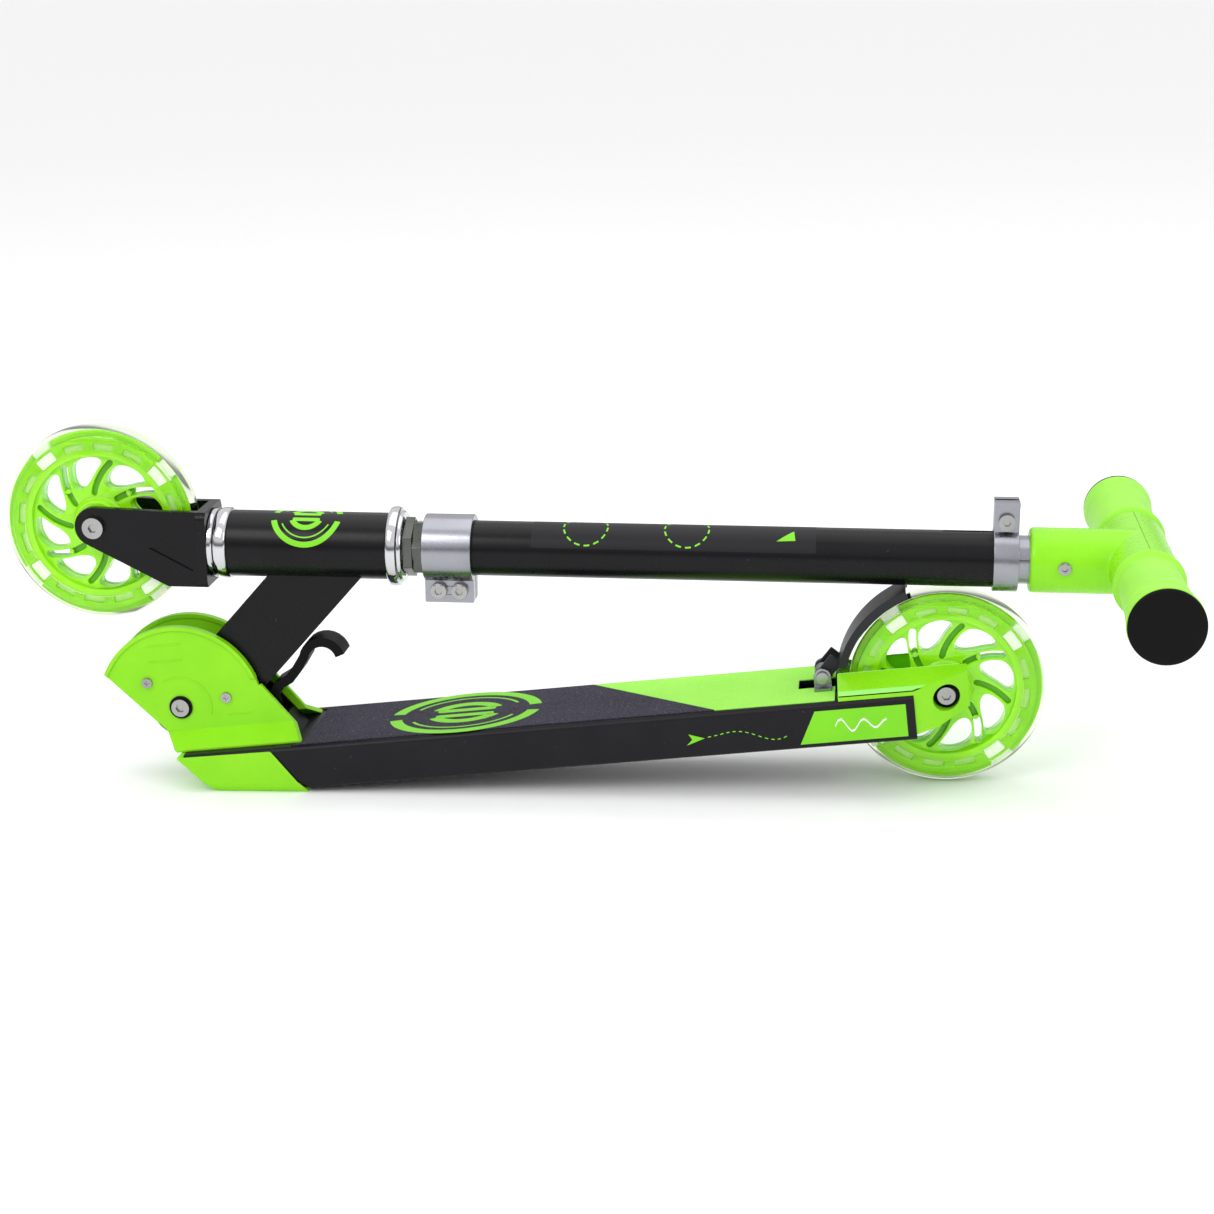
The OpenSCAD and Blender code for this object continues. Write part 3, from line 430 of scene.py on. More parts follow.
class Finishes:
    """Every finish of the scooter."""

    deck_black = Finish("deck_finish", (0.0075, 0.0073, 0.0102), (0.0050, 0.0048, 0.0068), (0.34, 0.48),
                        grain=2600.0, grain_depth=0.00001, wear=0.015, wear_colour=(0.045, 0.045, 0.05),
                        gloss=0.2)
    satin_black = Finish("satin_black", (0.0036, 0.0036, 0.0046), (0.0022, 0.0022, 0.0030), (0.22, 0.34),
                         grain=1800.0, grain_depth=0.000006, wear=0.01, wear_colour=(0.03, 0.03, 0.034),
                         gloss=0.2)
    grip_sheet = GritFinish("grip_sheet", (0.036, 0.033, 0.050), (0.026, 0.024, 0.036), (0.72, 0.95),
                            grain_depth=0.00022, gloss=0.3, painted_sparkle=(0.15, 0.135, 0.19))
    green_sheet = GritFinish("green_grip_sheet", (0.35, 0.84, 0.10), (0.30, 0.78, 0.07), (0.6, 0.85),
                             grain_depth=0.00010, painted_sparkle=(0.50, 0.93, 0.22), gloss=0.3)
    pale_sheet = GritFinish("pale_tail_sheet", (0.36, 0.90, 0.20), (0.32, 0.84, 0.16), (0.5, 0.7),
                            grain_depth=0.00002, painted_sparkle=(0.42, 0.93, 0.26), gloss=0.25)
    green_print = Finish("green_print", (0.200, 0.660, 0.010), (0.170, 0.590, 0.008), (0.4, 0.55),
                         grain=1500.0, grain_depth=0.00001, gloss=0.35)
    white_print = Finish("white_print", (0.84, 0.88, 0.80), (0.76, 0.82, 0.72), (0.4, 0.55),
                         grain=1500.0, grain_depth=0.00001, gloss=0.35)
    grey_print = Finish("grey_print", (0.0078, 0.0078, 0.0098), (0.0062, 0.0062, 0.0078), (0.4, 0.5),
                        grain=1500.0, grain_depth=0.00001, gloss=0.24)
    lime_plastic = Finish("lime_plastic", (0.270, 0.725, 0.012), (0.235, 0.665, 0.009), (0.30, 0.42),
                          grain=2100.0, grain_depth=0.000016, translucence=0.06, coat=0.05, gloss=0.22)
    lime_cover = replace(lime_plastic, name="lime_cover", edge=0.0009)
    lime_paint = Finish("lime_paint", (0.265, 0.725, 0.010), (0.230, 0.665, 0.008), (0.24, 0.36),
                        grain=700.0, grain_depth=0.000004, coat=0.1, gloss=0.25)
    black_steel = Finish("black_steel", (0.0024, 0.0024, 0.0030), (0.0016, 0.0016, 0.0020), (0.3, 0.45),
                         grain=1500.0, grain_depth=0.00001, gloss=0.14)
    bright_steel = Finish("bright_steel", (0.40, 0.40, 0.39), (0.31, 0.31, 0.30), (0.20, 0.28), metal=1.0,
                          grain=900.0, grain_depth=0.000001, wear=0.02, wear_colour=(0.30, 0.29, 0.28))
    bearing_steel = Finish("bearing_steel", (0.36, 0.36, 0.37), (0.29, 0.29, 0.30), (0.2, 0.35), metal=1.0)
    spring_steel = Finish("spring_steel", (0.24, 0.24, 0.25), (0.19, 0.19, 0.20), (0.25, 0.4), metal=1.0)
    chrome = Finish("chrome", (0.60, 0.60, 0.62), (0.54, 0.54, 0.56), (0.04, 0.12), metal=1.0,
                    grain=500.0, grain_depth=0.000004)
    dark_nut = Finish("dark_nut", (0.11, 0.115, 0.105), (0.07, 0.075, 0.065), (0.16, 0.30), metal=1.0,
                      grain=1200.0, grain_depth=0.00001, wear=0.02, wear_colour=(0.28, 0.28, 0.26))
    aluminium = Finish("brushed_aluminium", (0.33, 0.335, 0.37), (0.28, 0.285, 0.315), (0.22, 0.28),
                       metal=1.0, grain=700.0, grain_depth=0.0000006, stretch=(1.0, 0.04, 1.0))
    fender_plastic = Finish("fender_plastic", (0.017, 0.017, 0.021), (0.012, 0.012, 0.015), (0.36, 0.5),
                            grain=1700.0, grain_depth=0.00002, gloss=0.28)
    black_plastic = Finish("black_plastic", (0.0026, 0.0026, 0.0030), (0.0018, 0.0018, 0.0022), (0.42, 0.6),
                           grain=1900.0, grain_depth=0.00002, gloss=0.12)
    # The core's faint glow is painted glow: the moulding is no lamp.
    green_core = Finish("green_core", (0.300, 0.775, 0.006), (0.255, 0.700, 0.005), (0.14, 0.24),
                        grain=160.0, grain_depth=0.00003, translucence=0.3, coat=0.4, glow=0.10, gloss=0.4)
    # The groove floors' darker green is painted shade in the spoke grooves.
    groove_green = Finish("groove_green", (0.120, 0.430, 0.004), (0.100, 0.360, 0.003), (0.3, 0.42),
                          grain=400.0, grain_depth=0.00002, translucence=0.2)
    # The dashes' faint glow is painted glow: the rim is no lamp.
    dash_green = Finish("dash_green", (0.60, 0.92, 0.34), (0.52, 0.86, 0.26), (0.2, 0.35), grain=400.0,
                        grain_depth=0.00001, translucence=0.2, gloss=0.3, glow=0.05)
    clear_tyre = Finish("clear_tyre", (0.945, 0.998, 0.86), (0.92, 0.992, 0.81), (0.0, 0.03), grain=90.0,
                        grain_depth=0.00002, clear=1.0, ior=1.16)
    light_white = Finish("light_white", (0.90, 0.93, 0.91), (0.82, 0.87, 0.85), (0.2, 0.3), grain=500.0,
                         grain_depth=0.00002, translucence=0.2, glow=0.2)
    grip_rubber = Finish("grip_rubber", (0.31, 0.76, 0.040), (0.265, 0.71, 0.038), (0.46, 0.6),
                         grain=1500.0, grain_depth=0.00003, translucence=0.08, sheen=0.1, gloss=0.25)
    studio_floor = Finish("studio_floor", (0.92, 0.92, 0.92), (0.905, 0.905, 0.905), (0.6, 0.75), grain=60.0,
                          grain_depth=0.00002, gloss=0.25)


# ---- Mesh work ----


class Places:
    """The scooter's own axes and points, worked out from the joints of the frame."""

    def __init__(self, frame: dict) -> None:
        """Read the joints.
        """
        joints = {j["name"]: j for j in frame["record"]["behaviour"]["joints"]}
        self.pivot = Vector(joints["fold"]["pos_m"])
        self.rear_axle = Vector(joints["rear_spin"]["pos_m"])
        self.front_axle = Vector(joints["front_spin"]["pos_m"])
        self.deck_lift = 0.0244
        self.axle_drop = 0.0059
        reach = self.rear_axle - self.pivot
        below = self.deck_lift + self.axle_drop
        self.deck_slope = math.atan2(reach.z, reach.x) + math.asin(below / reach.length)
        along = Vector(joints["steer"]["axis"]).normalized()
        self.column_droop = math.atan2(-along.z, along.x)
        seat = Vector(joints["steer"]["pos_m"])
        foot = seat + along * (self.pivot - seat).dot(along)
        self.deck = Matrix.Translation(self.pivot) @ Matrix.Rotation(-self.deck_slope, 4, "Y")
        self.column = Matrix.Translation(foot) @ Matrix.Rotation(self.column_droop, 4, "Y")
        self.axle_reach = (self.deck.inverted() @ self.rear_axle).x / MM


def into_object(name: str, bm: bmesh.types.BMesh, place: Matrix, finish: bpy.types.Material,
                sharp: float) -> bpy.types.Object:
    """Turn a bmesh in millimetres into an object whose mesh lies in the row frame.

    Args:
        name: The object's name.
        bm: The bmesh, freed afterwards.
        place: The matrix from local to row coordinates.
        finish: The material.
        sharp: Edges over this angle stay sharp, in degrees.

    Returns:
        The new object.
    """
    bmesh.ops.remove_doubles(bm, verts=bm.verts, dist=0.0005)
    bmesh.ops.recalc_face_normals(bm, faces=bm.faces)
    bm.transform(place @ Matrix.Scale(MM, 4))
    mesh = bpy.data.meshes.new(name)
    bm.to_mesh(mesh)
    bm.free()
    mesh.materials.append(finish)
    for face in mesh.polygons:
        face.use_smooth = True
    mesh.set_sharp_from_angle(angle=math.radians(sharp))
    made = bpy.data.objects.new(name, mesh)
    bpy.context.scene.collection.objects.link(made)
    return made


def lathe(profile: Sequence[Point2], axis: str, steps: int = 96, closed: bool = True) -> bmesh.types.BMesh:
    """Turn a profile of (radius, place along the axis) about X or Y.

    Args:
        profile: The points, in millimetres.
        axis: "X" or "Y".
        steps: The number of segments round.
        closed: True joins the last point to the first, as for a ring.

    Returns:
        The turned bmesh.
    """
    bm = bmesh.new()
    rings = []
    for radius, along in profile:
        if radius < 1e-6:
            centre = (along, 0.0, 0.0) if axis == "X" else (0.0, along, 0.0)
            rings.append([bm.verts.new(centre)] * steps)
            continue
        ring = []
        for k in range(steps):
            c = radius * math.cos(math.tau * k / steps)
            s = radius * math.sin(math.tau * k / steps)
            ring.append(bm.verts.new((along, c, s) if axis == "X" else (c, along, s)))
        rings.append(ring)
    pairs = list(zip(rings, rings[1:]))
    if closed:
        pairs.append((rings[-1], rings[0]))
    for low, high in pairs:
        for k in range(steps):
            n = (k + 1) % steps
            corners = list(dict.fromkeys((low[k], low[n], high[n], high[k])))
            if len(corners) > 2:
                bm.faces.new(corners)
    return bm


def rounded(points: Sequence[Point2], radius: float, steps: int = 3) -> list[Point2]:
    """Round the corners of a closed outline.

    Args:
        points: The outline's corners.
        radius: The length cut from each side of a corner.
        steps: The points on each rounded corner, less one.

    Returns:
        The rounded outline.
    """
    out: list[Point2] = []
    count = len(points)
    for k in range(count):
        here, before, after = (Vector(points[(k + d) % count]) for d in (0, -1, 1))
        cut_a = min(radius, (before - here).length * 0.45)
        cut_b = min(radius, (after - here).length * 0.45)
        start = here + (before - here).normalized() * cut_a
        end = here + (after - here).normalized() * cut_b
        for i in range(steps + 1):
            t = i / steps
            out.append(tuple((1 - t) ** 2 * start + 2 * t * (1 - t) * here + t * t * end))
    return out


def evaluated(holder: bpy.types.Object) -> bmesh.types.BMesh:
    """Read an object's finished shape, and delete the object.

    Args:
        holder: The object, not yet in the scene.

    Returns:
        Its shape after its modifiers.
    """
    bpy.context.scene.collection.objects.link(holder)
    mesh = bpy.data.meshes.new_from_object(holder.evaluated_get(bpy.context.evaluated_depsgraph_get()))
    bm = bmesh.new()
    bm.from_mesh(mesh)
    bpy.data.objects.remove(holder)
    bpy.data.meshes.remove(mesh)
    return bm


def plate(outline: Sequence[Point2], holes: Sequence[Sequence[Point2]], half: float, bevel: float,
          centre: float = 0.0) -> bmesh.types.BMesh:
    """A flat plate in XZ with holes and softened edges, its thickness along Y.

    Args:
        outline: The outer line, in millimetres.
        holes: The lines of the holes.
        half: Half of the thickness.
        bevel: How much the edges are softened.
        centre: The place of the middle of the plate along Y.

    Returns:
        The plate's bmesh.
    """
    data = bpy.data.curves.new("plate_line", "CURVE")
    data.dimensions = "2D"
    data.fill_mode = "BOTH"
    data.extrude = half - bevel
    data.bevel_depth = bevel
    data.bevel_resolution = 1
    data.offset = -bevel
    for line in (outline, *holes):
        spline = data.splines.new("POLY")
        spline.points.add(len(line) - 1)
        for point, (x, z) in zip(spline.points, line):
            point.co = (x, z, 0.0, 1.0)
        spline.use_cyclic_u = True
    bm = evaluated(bpy.data.objects.new("plate_line", data))
    bpy.data.curves.remove(data)
    bm.transform(Matrix.Translation((0.0, centre, 0.0)) @ Matrix.Rotation(math.pi / 2, 4, "X"))
    return bm


def joined(parts: Sequence[bmesh.types.BMesh]) -> bmesh.types.BMesh:
    """Put several bmeshes into one.

    Args:
        parts: The bmeshes, all but the first freed.

    Returns:
        The first bmesh, with the others in it.
    """
    first = parts[0]
    for part in parts[1:]:
        mesh = bpy.data.meshes.new("part")
        part.to_mesh(mesh)
        part.free()
        first.from_mesh(mesh)
        bpy.data.meshes.remove(mesh)
    return first


def circle(radius: float, steps: int = 128) -> list[Point2]:
    """Points round a circle about the origin."""
    return [(radius * math.cos(math.tau * k / steps), radius * math.sin(math.tau * k / steps))
            for k in range(steps)]


def ring_sector(inner: float, outer: float, start: float, end: float, steps: int = 24) -> list[Point2]:
    """The outline of part of a ring, with angles in degrees."""
    angles = [math.radians(start + (end - start) * k / steps) for k in range(steps + 1)]
    far = [(outer * math.cos(a), outer * math.sin(a)) for a in angles]
    near = [(inner * math.cos(a), inner * math.sin(a)) for a in reversed(angles)]
    return far + near


def shifted(points: Iterable[Point2], dx: float, dz: float, stretch: float = 1.0) -> list[Point2]:
    """Move an outline, after scaling its first axis."""
    return [(x * stretch + dx, z + dz) for x, z in points]


def print_patch(outline: Sequence[Point2], wrap: Optional[float], proud: float) -> bmesh.types.BMesh:
    """A thin printed patch, flat or wrapped round a tube that lies along X.

    Args:
        outline: The patch's line, X along and the second value across, in millimetres.
        wrap: The tube's radius, or None for a flat patch at height 0.
        proud: The patch's thickness.

    Returns:
        The patch's bmesh: flat with its face along Z, or wrapped about X from the top of the tube.
    """
    bm = bmesh.new()
    bm.faces.new([bm.verts.new((x, y, 0.0)) for x, y in outline])
    if wrap is not None:
        bmesh.ops.triangulate(bm, faces=bm.faces)
        low = min(y for _, y in outline)
        high = max(y for _, y in outline)
        cuts = max(int((high - low) / 0.8), 1)
        for k in range(1, cuts):
            level = low + (high - low) * k / cuts
            geometry = bm.verts[:] + bm.edges[:] + bm.faces[:]
            bmesh.ops.bisect_plane(bm, geom=geometry, plane_co=(0.0, level, 0.0), plane_no=(0.0, 1.0, 0.0))
    top = bmesh.ops.extrude_face_region(bm, geom=bm.faces[:])
    raised = [g for g in top["geom"] if isinstance(g, bmesh.types.BMVert)]
    for vert in raised:
        vert.co.z = proud
    if wrap is not None:
        for vert in bm.verts:
            angle = vert.co.y / wrap
            radius = wrap + 0.02 + vert.co.z
            vert.co = Vector((vert.co.x, -radius * math.sin(angle), radius * math.cos(angle)))
    return bm


def dress_node(node: bpy.types.Object, finish: bpy.types.Material, bevel: float,
               sharp: float = 35.0) -> None:
    """Give a node of the frame its finish and soften its edges.

    Args:
        node: The node's object.
        finish: The material.
        bevel: The width of the softened edges in millimetres, or 0.
        sharp: Edges over this angle are softened, in degrees.
    """
    mesh = node.data
    mesh.materials.clear()
    mesh.materials.append(finish)
    custom = mesh.attributes.get("custom_normal")
    if custom is not None:
        mesh.attributes.remove(custom)
    for face in mesh.polygons:
        face.use_smooth = True
    weld = node.modifiers.new("weld", "WELD")
    weld.merge_threshold = 0.000004
    if bevel == 0:
        split = node.modifiers.new("crisp_edges", "EDGE_SPLIT")
        split.split_angle = math.radians(sharp)
    if bevel > 0:
        soft = node.modifiers.new("softened_edges", "BEVEL")
        soft.width = bevel * MM
        soft.segments = 2
        soft.limit_method = "ANGLE"
        soft.angle_limit = math.radians(sharp)
        soft.use_clamp_overlap = True
        soft.harden_normals = False
        shading = node.modifiers.new("even_shading", "WEIGHTED_NORMAL")
        shading.keep_sharp = False
        shading.weight = 60


def put(name: str, bm: bmesh.types.BMesh, place: Matrix, finish: Finish, body: str,
        sharp: float = 35.0) -> bpy.types.Object:
    """Make a piece, let it ride on a body and report it.

    Args:
        name: The piece's name.
        bm: Its shape in millimetres, freed afterwards.
        place: The matrix from local to row coordinates.
        finish: Its finish.
        body: The body of the frame.
        sharp: Edges over this angle stay sharp, in degrees.

    Returns:
        The piece.
    """
    piece = into_object(name, bm, place, finish.material(), sharp)
    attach(piece, body)
    log.info("%s: %d faces", piece.name, len(piece.data.polygons))
    return piece


# ---- Sub-assemblies ----


class Side(Enum):
    """The two sides of the scooter."""

    NEAR = -1
    FAR = 1


@dataclass
class Wheel:
    """A light-up wheel: moulded green core, clear tyre and white light blocks, sizes in millimetres."""

    name: str
    body: str
    axle: Vector
    radius: float = 60.0
    half_width: float = 12.0
    rim_out: float = 53.0
    rim_in: float = 41.5
    rim_half: float = 9.0
    crown_out: float = 56.0
    crown_half: float = 5.0
    hub: float = 14.5
    bearing: float = 11.0
    web_half: float = 6.0
    skin: float = 2.4
    openings: int = 8
    opening_turn: float = 6.0
    leaf_in: float = 22.5
    sweep: float = 19.0
    spoke: float = 8.0
    light_turn: float = 37.0
    groove: float = 3.6
    lights: int = 4
    dashes: int = 16
    channel: float = 46.2
    dash_out: float = 49.6
    pocket_out: float = 51.6
    fit: float = 0.05
    slot_span: Point2 = (27.5, 38.5)
    long_groove: Point2 = (18.5, 38.0)
    short_groove: Point2 = (18.5, 25.5)
    crown_in: float = 50.0
    crown_gap: float = 7.4
    pocket_half: float = 7.2
    block_out: float = 51.4
    block_half: float = 6.9
    cap_in: float = 50.4
    cap_half: float = 6.0

    def polar(self, radius: float, degrees: float) -> Point2:
        """A point in the wheel's plane."""
        return (radius * math.cos(math.radians(degrees)), radius * math.sin(math.radians(degrees)))

    def opening(self, turn: float) -> list[Point2]:
        """The line of one opening between two spokes.

        Args:
            turn: The direction of its outer end, in degrees.

        Returns:
            The opening's outline.
        """
        sides: tuple[list[Point2], list[Point2]] = ([], [])
        steps = 20
        for k in range(steps + 1):
            t = (1 - math.cos(math.pi * k / steps)) / 2
            radius = self.leaf_in + (self.rim_in - 1 - self.leaf_in) * t
            half = 180 / self.openings - math.degrees(math.asin(self.spoke / 2 / radius))
            half *= math.sqrt(max(0.0, 1 - abs(2 * t - 1) ** 4))
            middle = turn + self.sweep * (1 - t)
            sides[0].append(self.polar(radius, middle - half))
            if 0 < k < steps:
                sides[1].append(self.polar(radius, middle + half))
        return sides[0] + sides[1][::-1]

    def slot_line(self, turn: float, inner: float, outer: float, width: float) -> list[Point2]:
        """A round-ended slot along a spoke.

        Args:
            turn: The spoke's direction at the rim, in degrees.
            inner: The slot's inner end.
            outer: The slot's outer end.
            width: The slot's width.

        Returns:
            The slot's outline.
        """
        reach = self.rim_in - 1 - self.leaf_in

        def on_spoke(radius: float) -> Vector:
            return Vector(self.polar(radius, turn + self.sweep * (1 - (radius - self.leaf_in) / reach)))

        steps = 6
        points = [on_spoke(inner + (outer - inner) * k / steps) for k in range(steps + 1)]
        left: list[Point2] = []
        right: list[Point2] = []
        for k, point in enumerate(points):
            ahead = (points[min(k + 1, steps)] - points[max(k - 1, 0)]).normalized()
            across = Vector((-ahead.y, ahead.x)) * width / 2
            left.append(tuple(point + across))
            right.append(tuple(point - across))
            if k == steps:
                for i in range(1, 5):
                    a = math.pi * i / 5
                    left.append(tuple(point + across * math.cos(a) + ahead * width / 2 * math.sin(a)))
            if k == 0:
                for i in range(1, 5):
                    a = math.pi * i / 5
                    right.insert(0, tuple(point + across * math.cos(math.pi - a)
                                          - ahead * width / 2 * math.sin(a)))
        return left + right[::-1]

    def build_core(self) -> None:
        """Mould the core: web with swept spokes, grooves and slots, rim with dashes, and hub."""
        pitch = 360 / self.openings
        openings = [self.opening(self.opening_turn + pitch * k) for k in range(self.openings)]
        spokes = [self.opening_turn - pitch / 2 + pitch * k for k in range(self.openings)]
        bore = circle(self.bearing - 0.5, 64)
        slots = [self.slot_line(a, *self.slot_span, self.groove + 0.8) for a in spokes[1::2]]
        grooves = [self.slot_line(a, *self.long_groove, self.groove) for a in spokes[0::2]]
        grooves += [self.slot_line(a, *self.short_groove, self.groove) for a in spokes[1::2]]
        web_out = circle(self.rim_in + 1.5)
        floor_half = self.web_half - self.skin
        parts = [plate(web_out, [bore, *openings, *slots], floor_half, 0.1)]
        for side in Side:
            centre = side.value * (self.web_half - self.skin / 2)
            cuts = [bore, *openings, *slots, *grooves]
            parts.append(plate(web_out, cuts, self.skin / 2 + 0.05, 0.45, centre))
        dashes = []
        for k in range(self.dashes):
            turn = self.light_turn + 360 / self.dashes * k
            wide = self.pocket_half if k % 4 == 0 else self.crown_gap
            pocket = (self.rim_in + 3.5, self.pocket_out)
            low, high = pocket if k % 4 == 0 else (self.channel, self.dash_out)
            dashes.append(rounded(ring_sector(low, high, turn - wide, turn + wide, 8), 1.5, 3))
        ring = circle(self.rim_out)
        hole = circle(self.rim_in)
        parts.append(plate(ring, [hole], self.rim_half - 2.2, 0.1))
        for side in Side:
            parts.append(plate(ring, [hole, *dashes], 1.15, 0.5, side.value * (self.rim_half - 1.15)))
        for k in range(self.lights):
            turn = self.light_turn + 360 / self.lights * k
            crown = ring_sector(self.crown_in, self.crown_out, turn + self.crown_gap,
                                turn + 360 / self.lights - self.crown_gap, 48)
            parts.append(plate(crown, [], self.crown_half, 0.5))
        hub = [(self.bearing, -self.half_width), (self.hub - 0.8, -self.half_width),
               (self.hub, -self.half_width + 0.8), (self.hub + 0.6, -self.web_half - 1.2),
               (self.hub + 2.2, -self.web_half + 0.2), (self.hub + 2.2, self.web_half - 0.2),
               (self.hub + 0.6, self.web_half + 1.2), (self.hub, self.half_width - 0.8),
               (self.hub - 0.8, self.half_width), (self.bearing, self.half_width)]
        parts.append(lathe(hub, "Y"))
        axle = Matrix.Translation(self.axle)
        core = put(f"{self.name}_core_moulding", joined(parts), axle, Finishes.green_core, self.body)
        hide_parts(f"{self.name}_core")
        # Darker slabs on the groove floors: painted shade in the grooves.
        groove_shade_slabs = [plate(g, [], floor_half + 0.25, 0.05) for g in grooves]
        # Pale dash slabs in the rim, with a faint painted glow.
        pale = [plate(d, [], self.rim_half - 1.5, 0.05) for k, d in enumerate(dashes) if k % 4]
        for word, lines, finish in (("groove", groove_shade_slabs, Finishes.groove_green),
                                    ("dash", pale, Finishes.dash_green)):
            put(f"{self.name}_{word}_floors", joined(lines), axle, finish, self.body)

    def build_lights(self) -> None:
        """Make the four white light blocks, with a moulded step on each."""
        blocks = []
        for k in range(self.lights):
            turn = self.light_turn + 360 / self.lights * k
            for low, high, wide, half in (
                    (self.rim_in + 3.8, self.block_out, self.block_half, self.rim_half - 0.2),
                    (self.cap_in, self.crown_out + 0.8, self.cap_half, self.crown_half - 0.1)):
                line = rounded(ring_sector(low, high, turn - wide, turn + wide, 8), 0.8, 2)
                blocks.append(plate(line, [], half, 0.4))
        lights = put(f"{self.name}_light_blocks", joined(blocks), Matrix.Translation(self.axle),
                     Finishes.light_white, self.body)
        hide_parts(self.name.replace("wheel", "light_modules"))

    def build_tyre(self) -> None:
        """Cast the clear tyre: a round crown over the rim's channel."""
        half, crown = self.half_width, self.radius - self.half_width
        step = (self.crown_out + 1.0, self.crown_half + self.fit)
        seat, side = self.rim_out + self.fit, self.rim_half + self.fit
        lip = [(self.channel + 0.6, half - 0.2), (45.8, half - 1.6), (45.6, self.rim_half + 0.6),
               (self.channel, side), (seat, side), (seat, step[1]), step]
        arc = [(crown + half * math.cos(a), half * math.sin(a))
               for a in (math.radians(-90 + 180 * k / 28) for k in range(29))]
        profile = [(r, -y) for r, y in reversed(lip)] + [(r, y * 0.995) for r, y in arc] + lip
        tyre = put(f"{self.name}_clear_tyre", lathe(profile, "Y", 192), Matrix.Translation(self.axle),
                   Finishes.clear_tyre, self.body, 50.0)
        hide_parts(self.name.replace("wheel", "tyre"))

    def build(self) -> None:
        """Make the wheel's pieces."""
        self.build_core()
        self.build_lights()
        self.build_tyre()


@dataclass
class Handlebar:
    """The tee and its grips, sizes in millimetres from the column's own origin."""

    places: Places
    bar_x: float = 573.0
    stem_x: float = 508.7
    tee_r: float = 19.2
    tee_half: float = 49.0
    grip_from: float = 49.4
    grip_to: float = 135.1
    bore: float = 11.2
    waist: float = 17.7
    flange: float = 21.3
    bumps: tuple[tuple[float, float, float], ...] = ((3.1, 0.035, 0.032), (-0.7, 0.80, 0.02),
                                                     (0.35, 0.965, 0.02))
    cap_line: tuple[Point2, ...] = ((0.0, -3.0), (9.0, -3.0), (9.0, 0.1), (20.6, 0.1), (21.05, 0.6),
                                    (21.05, 1.9), (20.5, 2.55), (19.4, 2.8), (12.0, 2.93), (0.0, 2.98))

    def grip_profile(self) -> list[Point2]:
        """The grip's turned line: a soft bead at the tee, a waist and a flare.

        Returns:
            The points as (radius, distance from the middle).
        """
        line = [(self.bore, self.grip_from), (18.4, self.grip_from)]
        steps = 60
        for k in range(steps + 1):
            t = k / steps
            body = self.waist + (self.flange - self.waist) * t ** 1.9
            bumps = sum(high * math.exp(-((t - at) / wide) ** 2) for high, at, wide in self.bumps)
            ends = 1.0 * (math.exp(-t / 0.006) + math.exp(-(1 - t) / 0.006))
            line.append((min(body + bumps - ends, self.flange),
                         self.grip_from + t * (self.grip_to - self.grip_from)))
        line.append((self.bore, self.grip_to))
        return line

    def build_grips(self) -> None:
        """Turn both grips and their end caps."""
        place = self.places.column @ Matrix.Translation(Vector((self.bar_x, 0, 0)) * MM)
        caps = []
        for side, word in ((Side.NEAR, "left"), (Side.FAR, "right")):
            profile = [(r, side.value * y) for r, y in self.grip_profile()]
            grip = put(f"{word}_grip_sleeve", lathe(profile, "Y", 128), place, Finishes.grip_rubber,
                       "handlebar", 60.0)
            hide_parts(f"{word}_grip")
            cap = [(r, side.value * (self.grip_to + y)) for r, y in self.cap_line]
            caps.append(lathe(cap, "Y", 128, closed=False))
        end_caps = put("grip_end_caps", joined(caps), place, Finishes.black_plastic, "handlebar",
                       50.0)
        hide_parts("end_caps")

    def tee_form(self) -> bmesh.types.BMesh:
        """The cast tee: stem and crossbar run into each other with a soft fillet.

        Returns:
            The tee's closed bmesh.
        """
        r, half, stem, bar = self.tee_r, self.tee_half, self.stem_x, self.bar_x
        rim = 1.2
        stem_line = [(0.0, stem), (r - rim, stem), (r, stem + rim), (r, bar), (0.0, bar)]
        bar_line = [(0.0, -half), (r - rim, -half), (r, -half + rim), (r, half - rim), (r - rim, half),
                    (0.0, half)]
        crossbar = lathe(bar_line, "Y", 128, closed=False)
        crossbar.transform(Matrix.Translation((bar, 0, 0)))
        bm = joined([lathe(stem_line, "X", 128, closed=False), crossbar])
        bmesh.ops.remove_doubles(bm, verts=bm.verts, dist=0.001)
        bmesh.ops.recalc_face_normals(bm, faces=bm.faces)
        mesh = bpy.data.meshes.new("tee_form")
        bm.to_mesh(mesh)
        bm.free()
        holder = bpy.data.objects.new("tee_form", mesh)
        remesh = holder.modifiers.new("fused", "REMESH")
        remesh.mode = "VOXEL"
        remesh.voxel_size = 0.9
        soft = holder.modifiers.new("cast_softness", "SMOOTH")
        soft.factor = 0.5
        soft.iterations = 14
        out = evaluated(holder)
        bpy.data.meshes.remove(mesh)
        for vert in out.verts:
            from_bar = math.hypot(vert.co.x - bar, vert.co.z)
            from_stem = math.hypot(vert.co.y, vert.co.z)
            near = min(from_bar if vert.co.x > bar - r * 1.02 else 99.0,
                       from_stem if vert.co.x < bar else 99.0)
            if near > r:
                pull = r / near
                vert.co.z *= pull
        return out

    def build_tee(self) -> None:
        """Part the tee along the crossbar, as its two castings are."""
        gap = 0.15
        castings = (("tee_front_casting", "tee_stem", 1), ("tee_rear_casting", "tee_cap", -1))
        for name, node, facing in castings:
            bm = self.tee_form()
            cut = bmesh.ops.bisect_plane(bm, geom=bm.verts[:] + bm.edges[:] + bm.faces[:],
                                         plane_co=(self.bar_x - facing * gap, 0, 0), plane_no=(facing, 0, 0),
                                         clear_outer=True)
            edges = [g for g in cut["geom_cut"] if isinstance(g, bmesh.types.BMEdge)]
            bmesh.ops.holes_fill(bm, edges=edges, sides=0)
            piece = put(name, bm, self.places.column, Finishes.lime_paint, "handlebar", 60.0)
            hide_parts(node)

    def build(self) -> None:
        """Make the tee, grips and caps."""
        self.build_tee()
        self.build_grips()


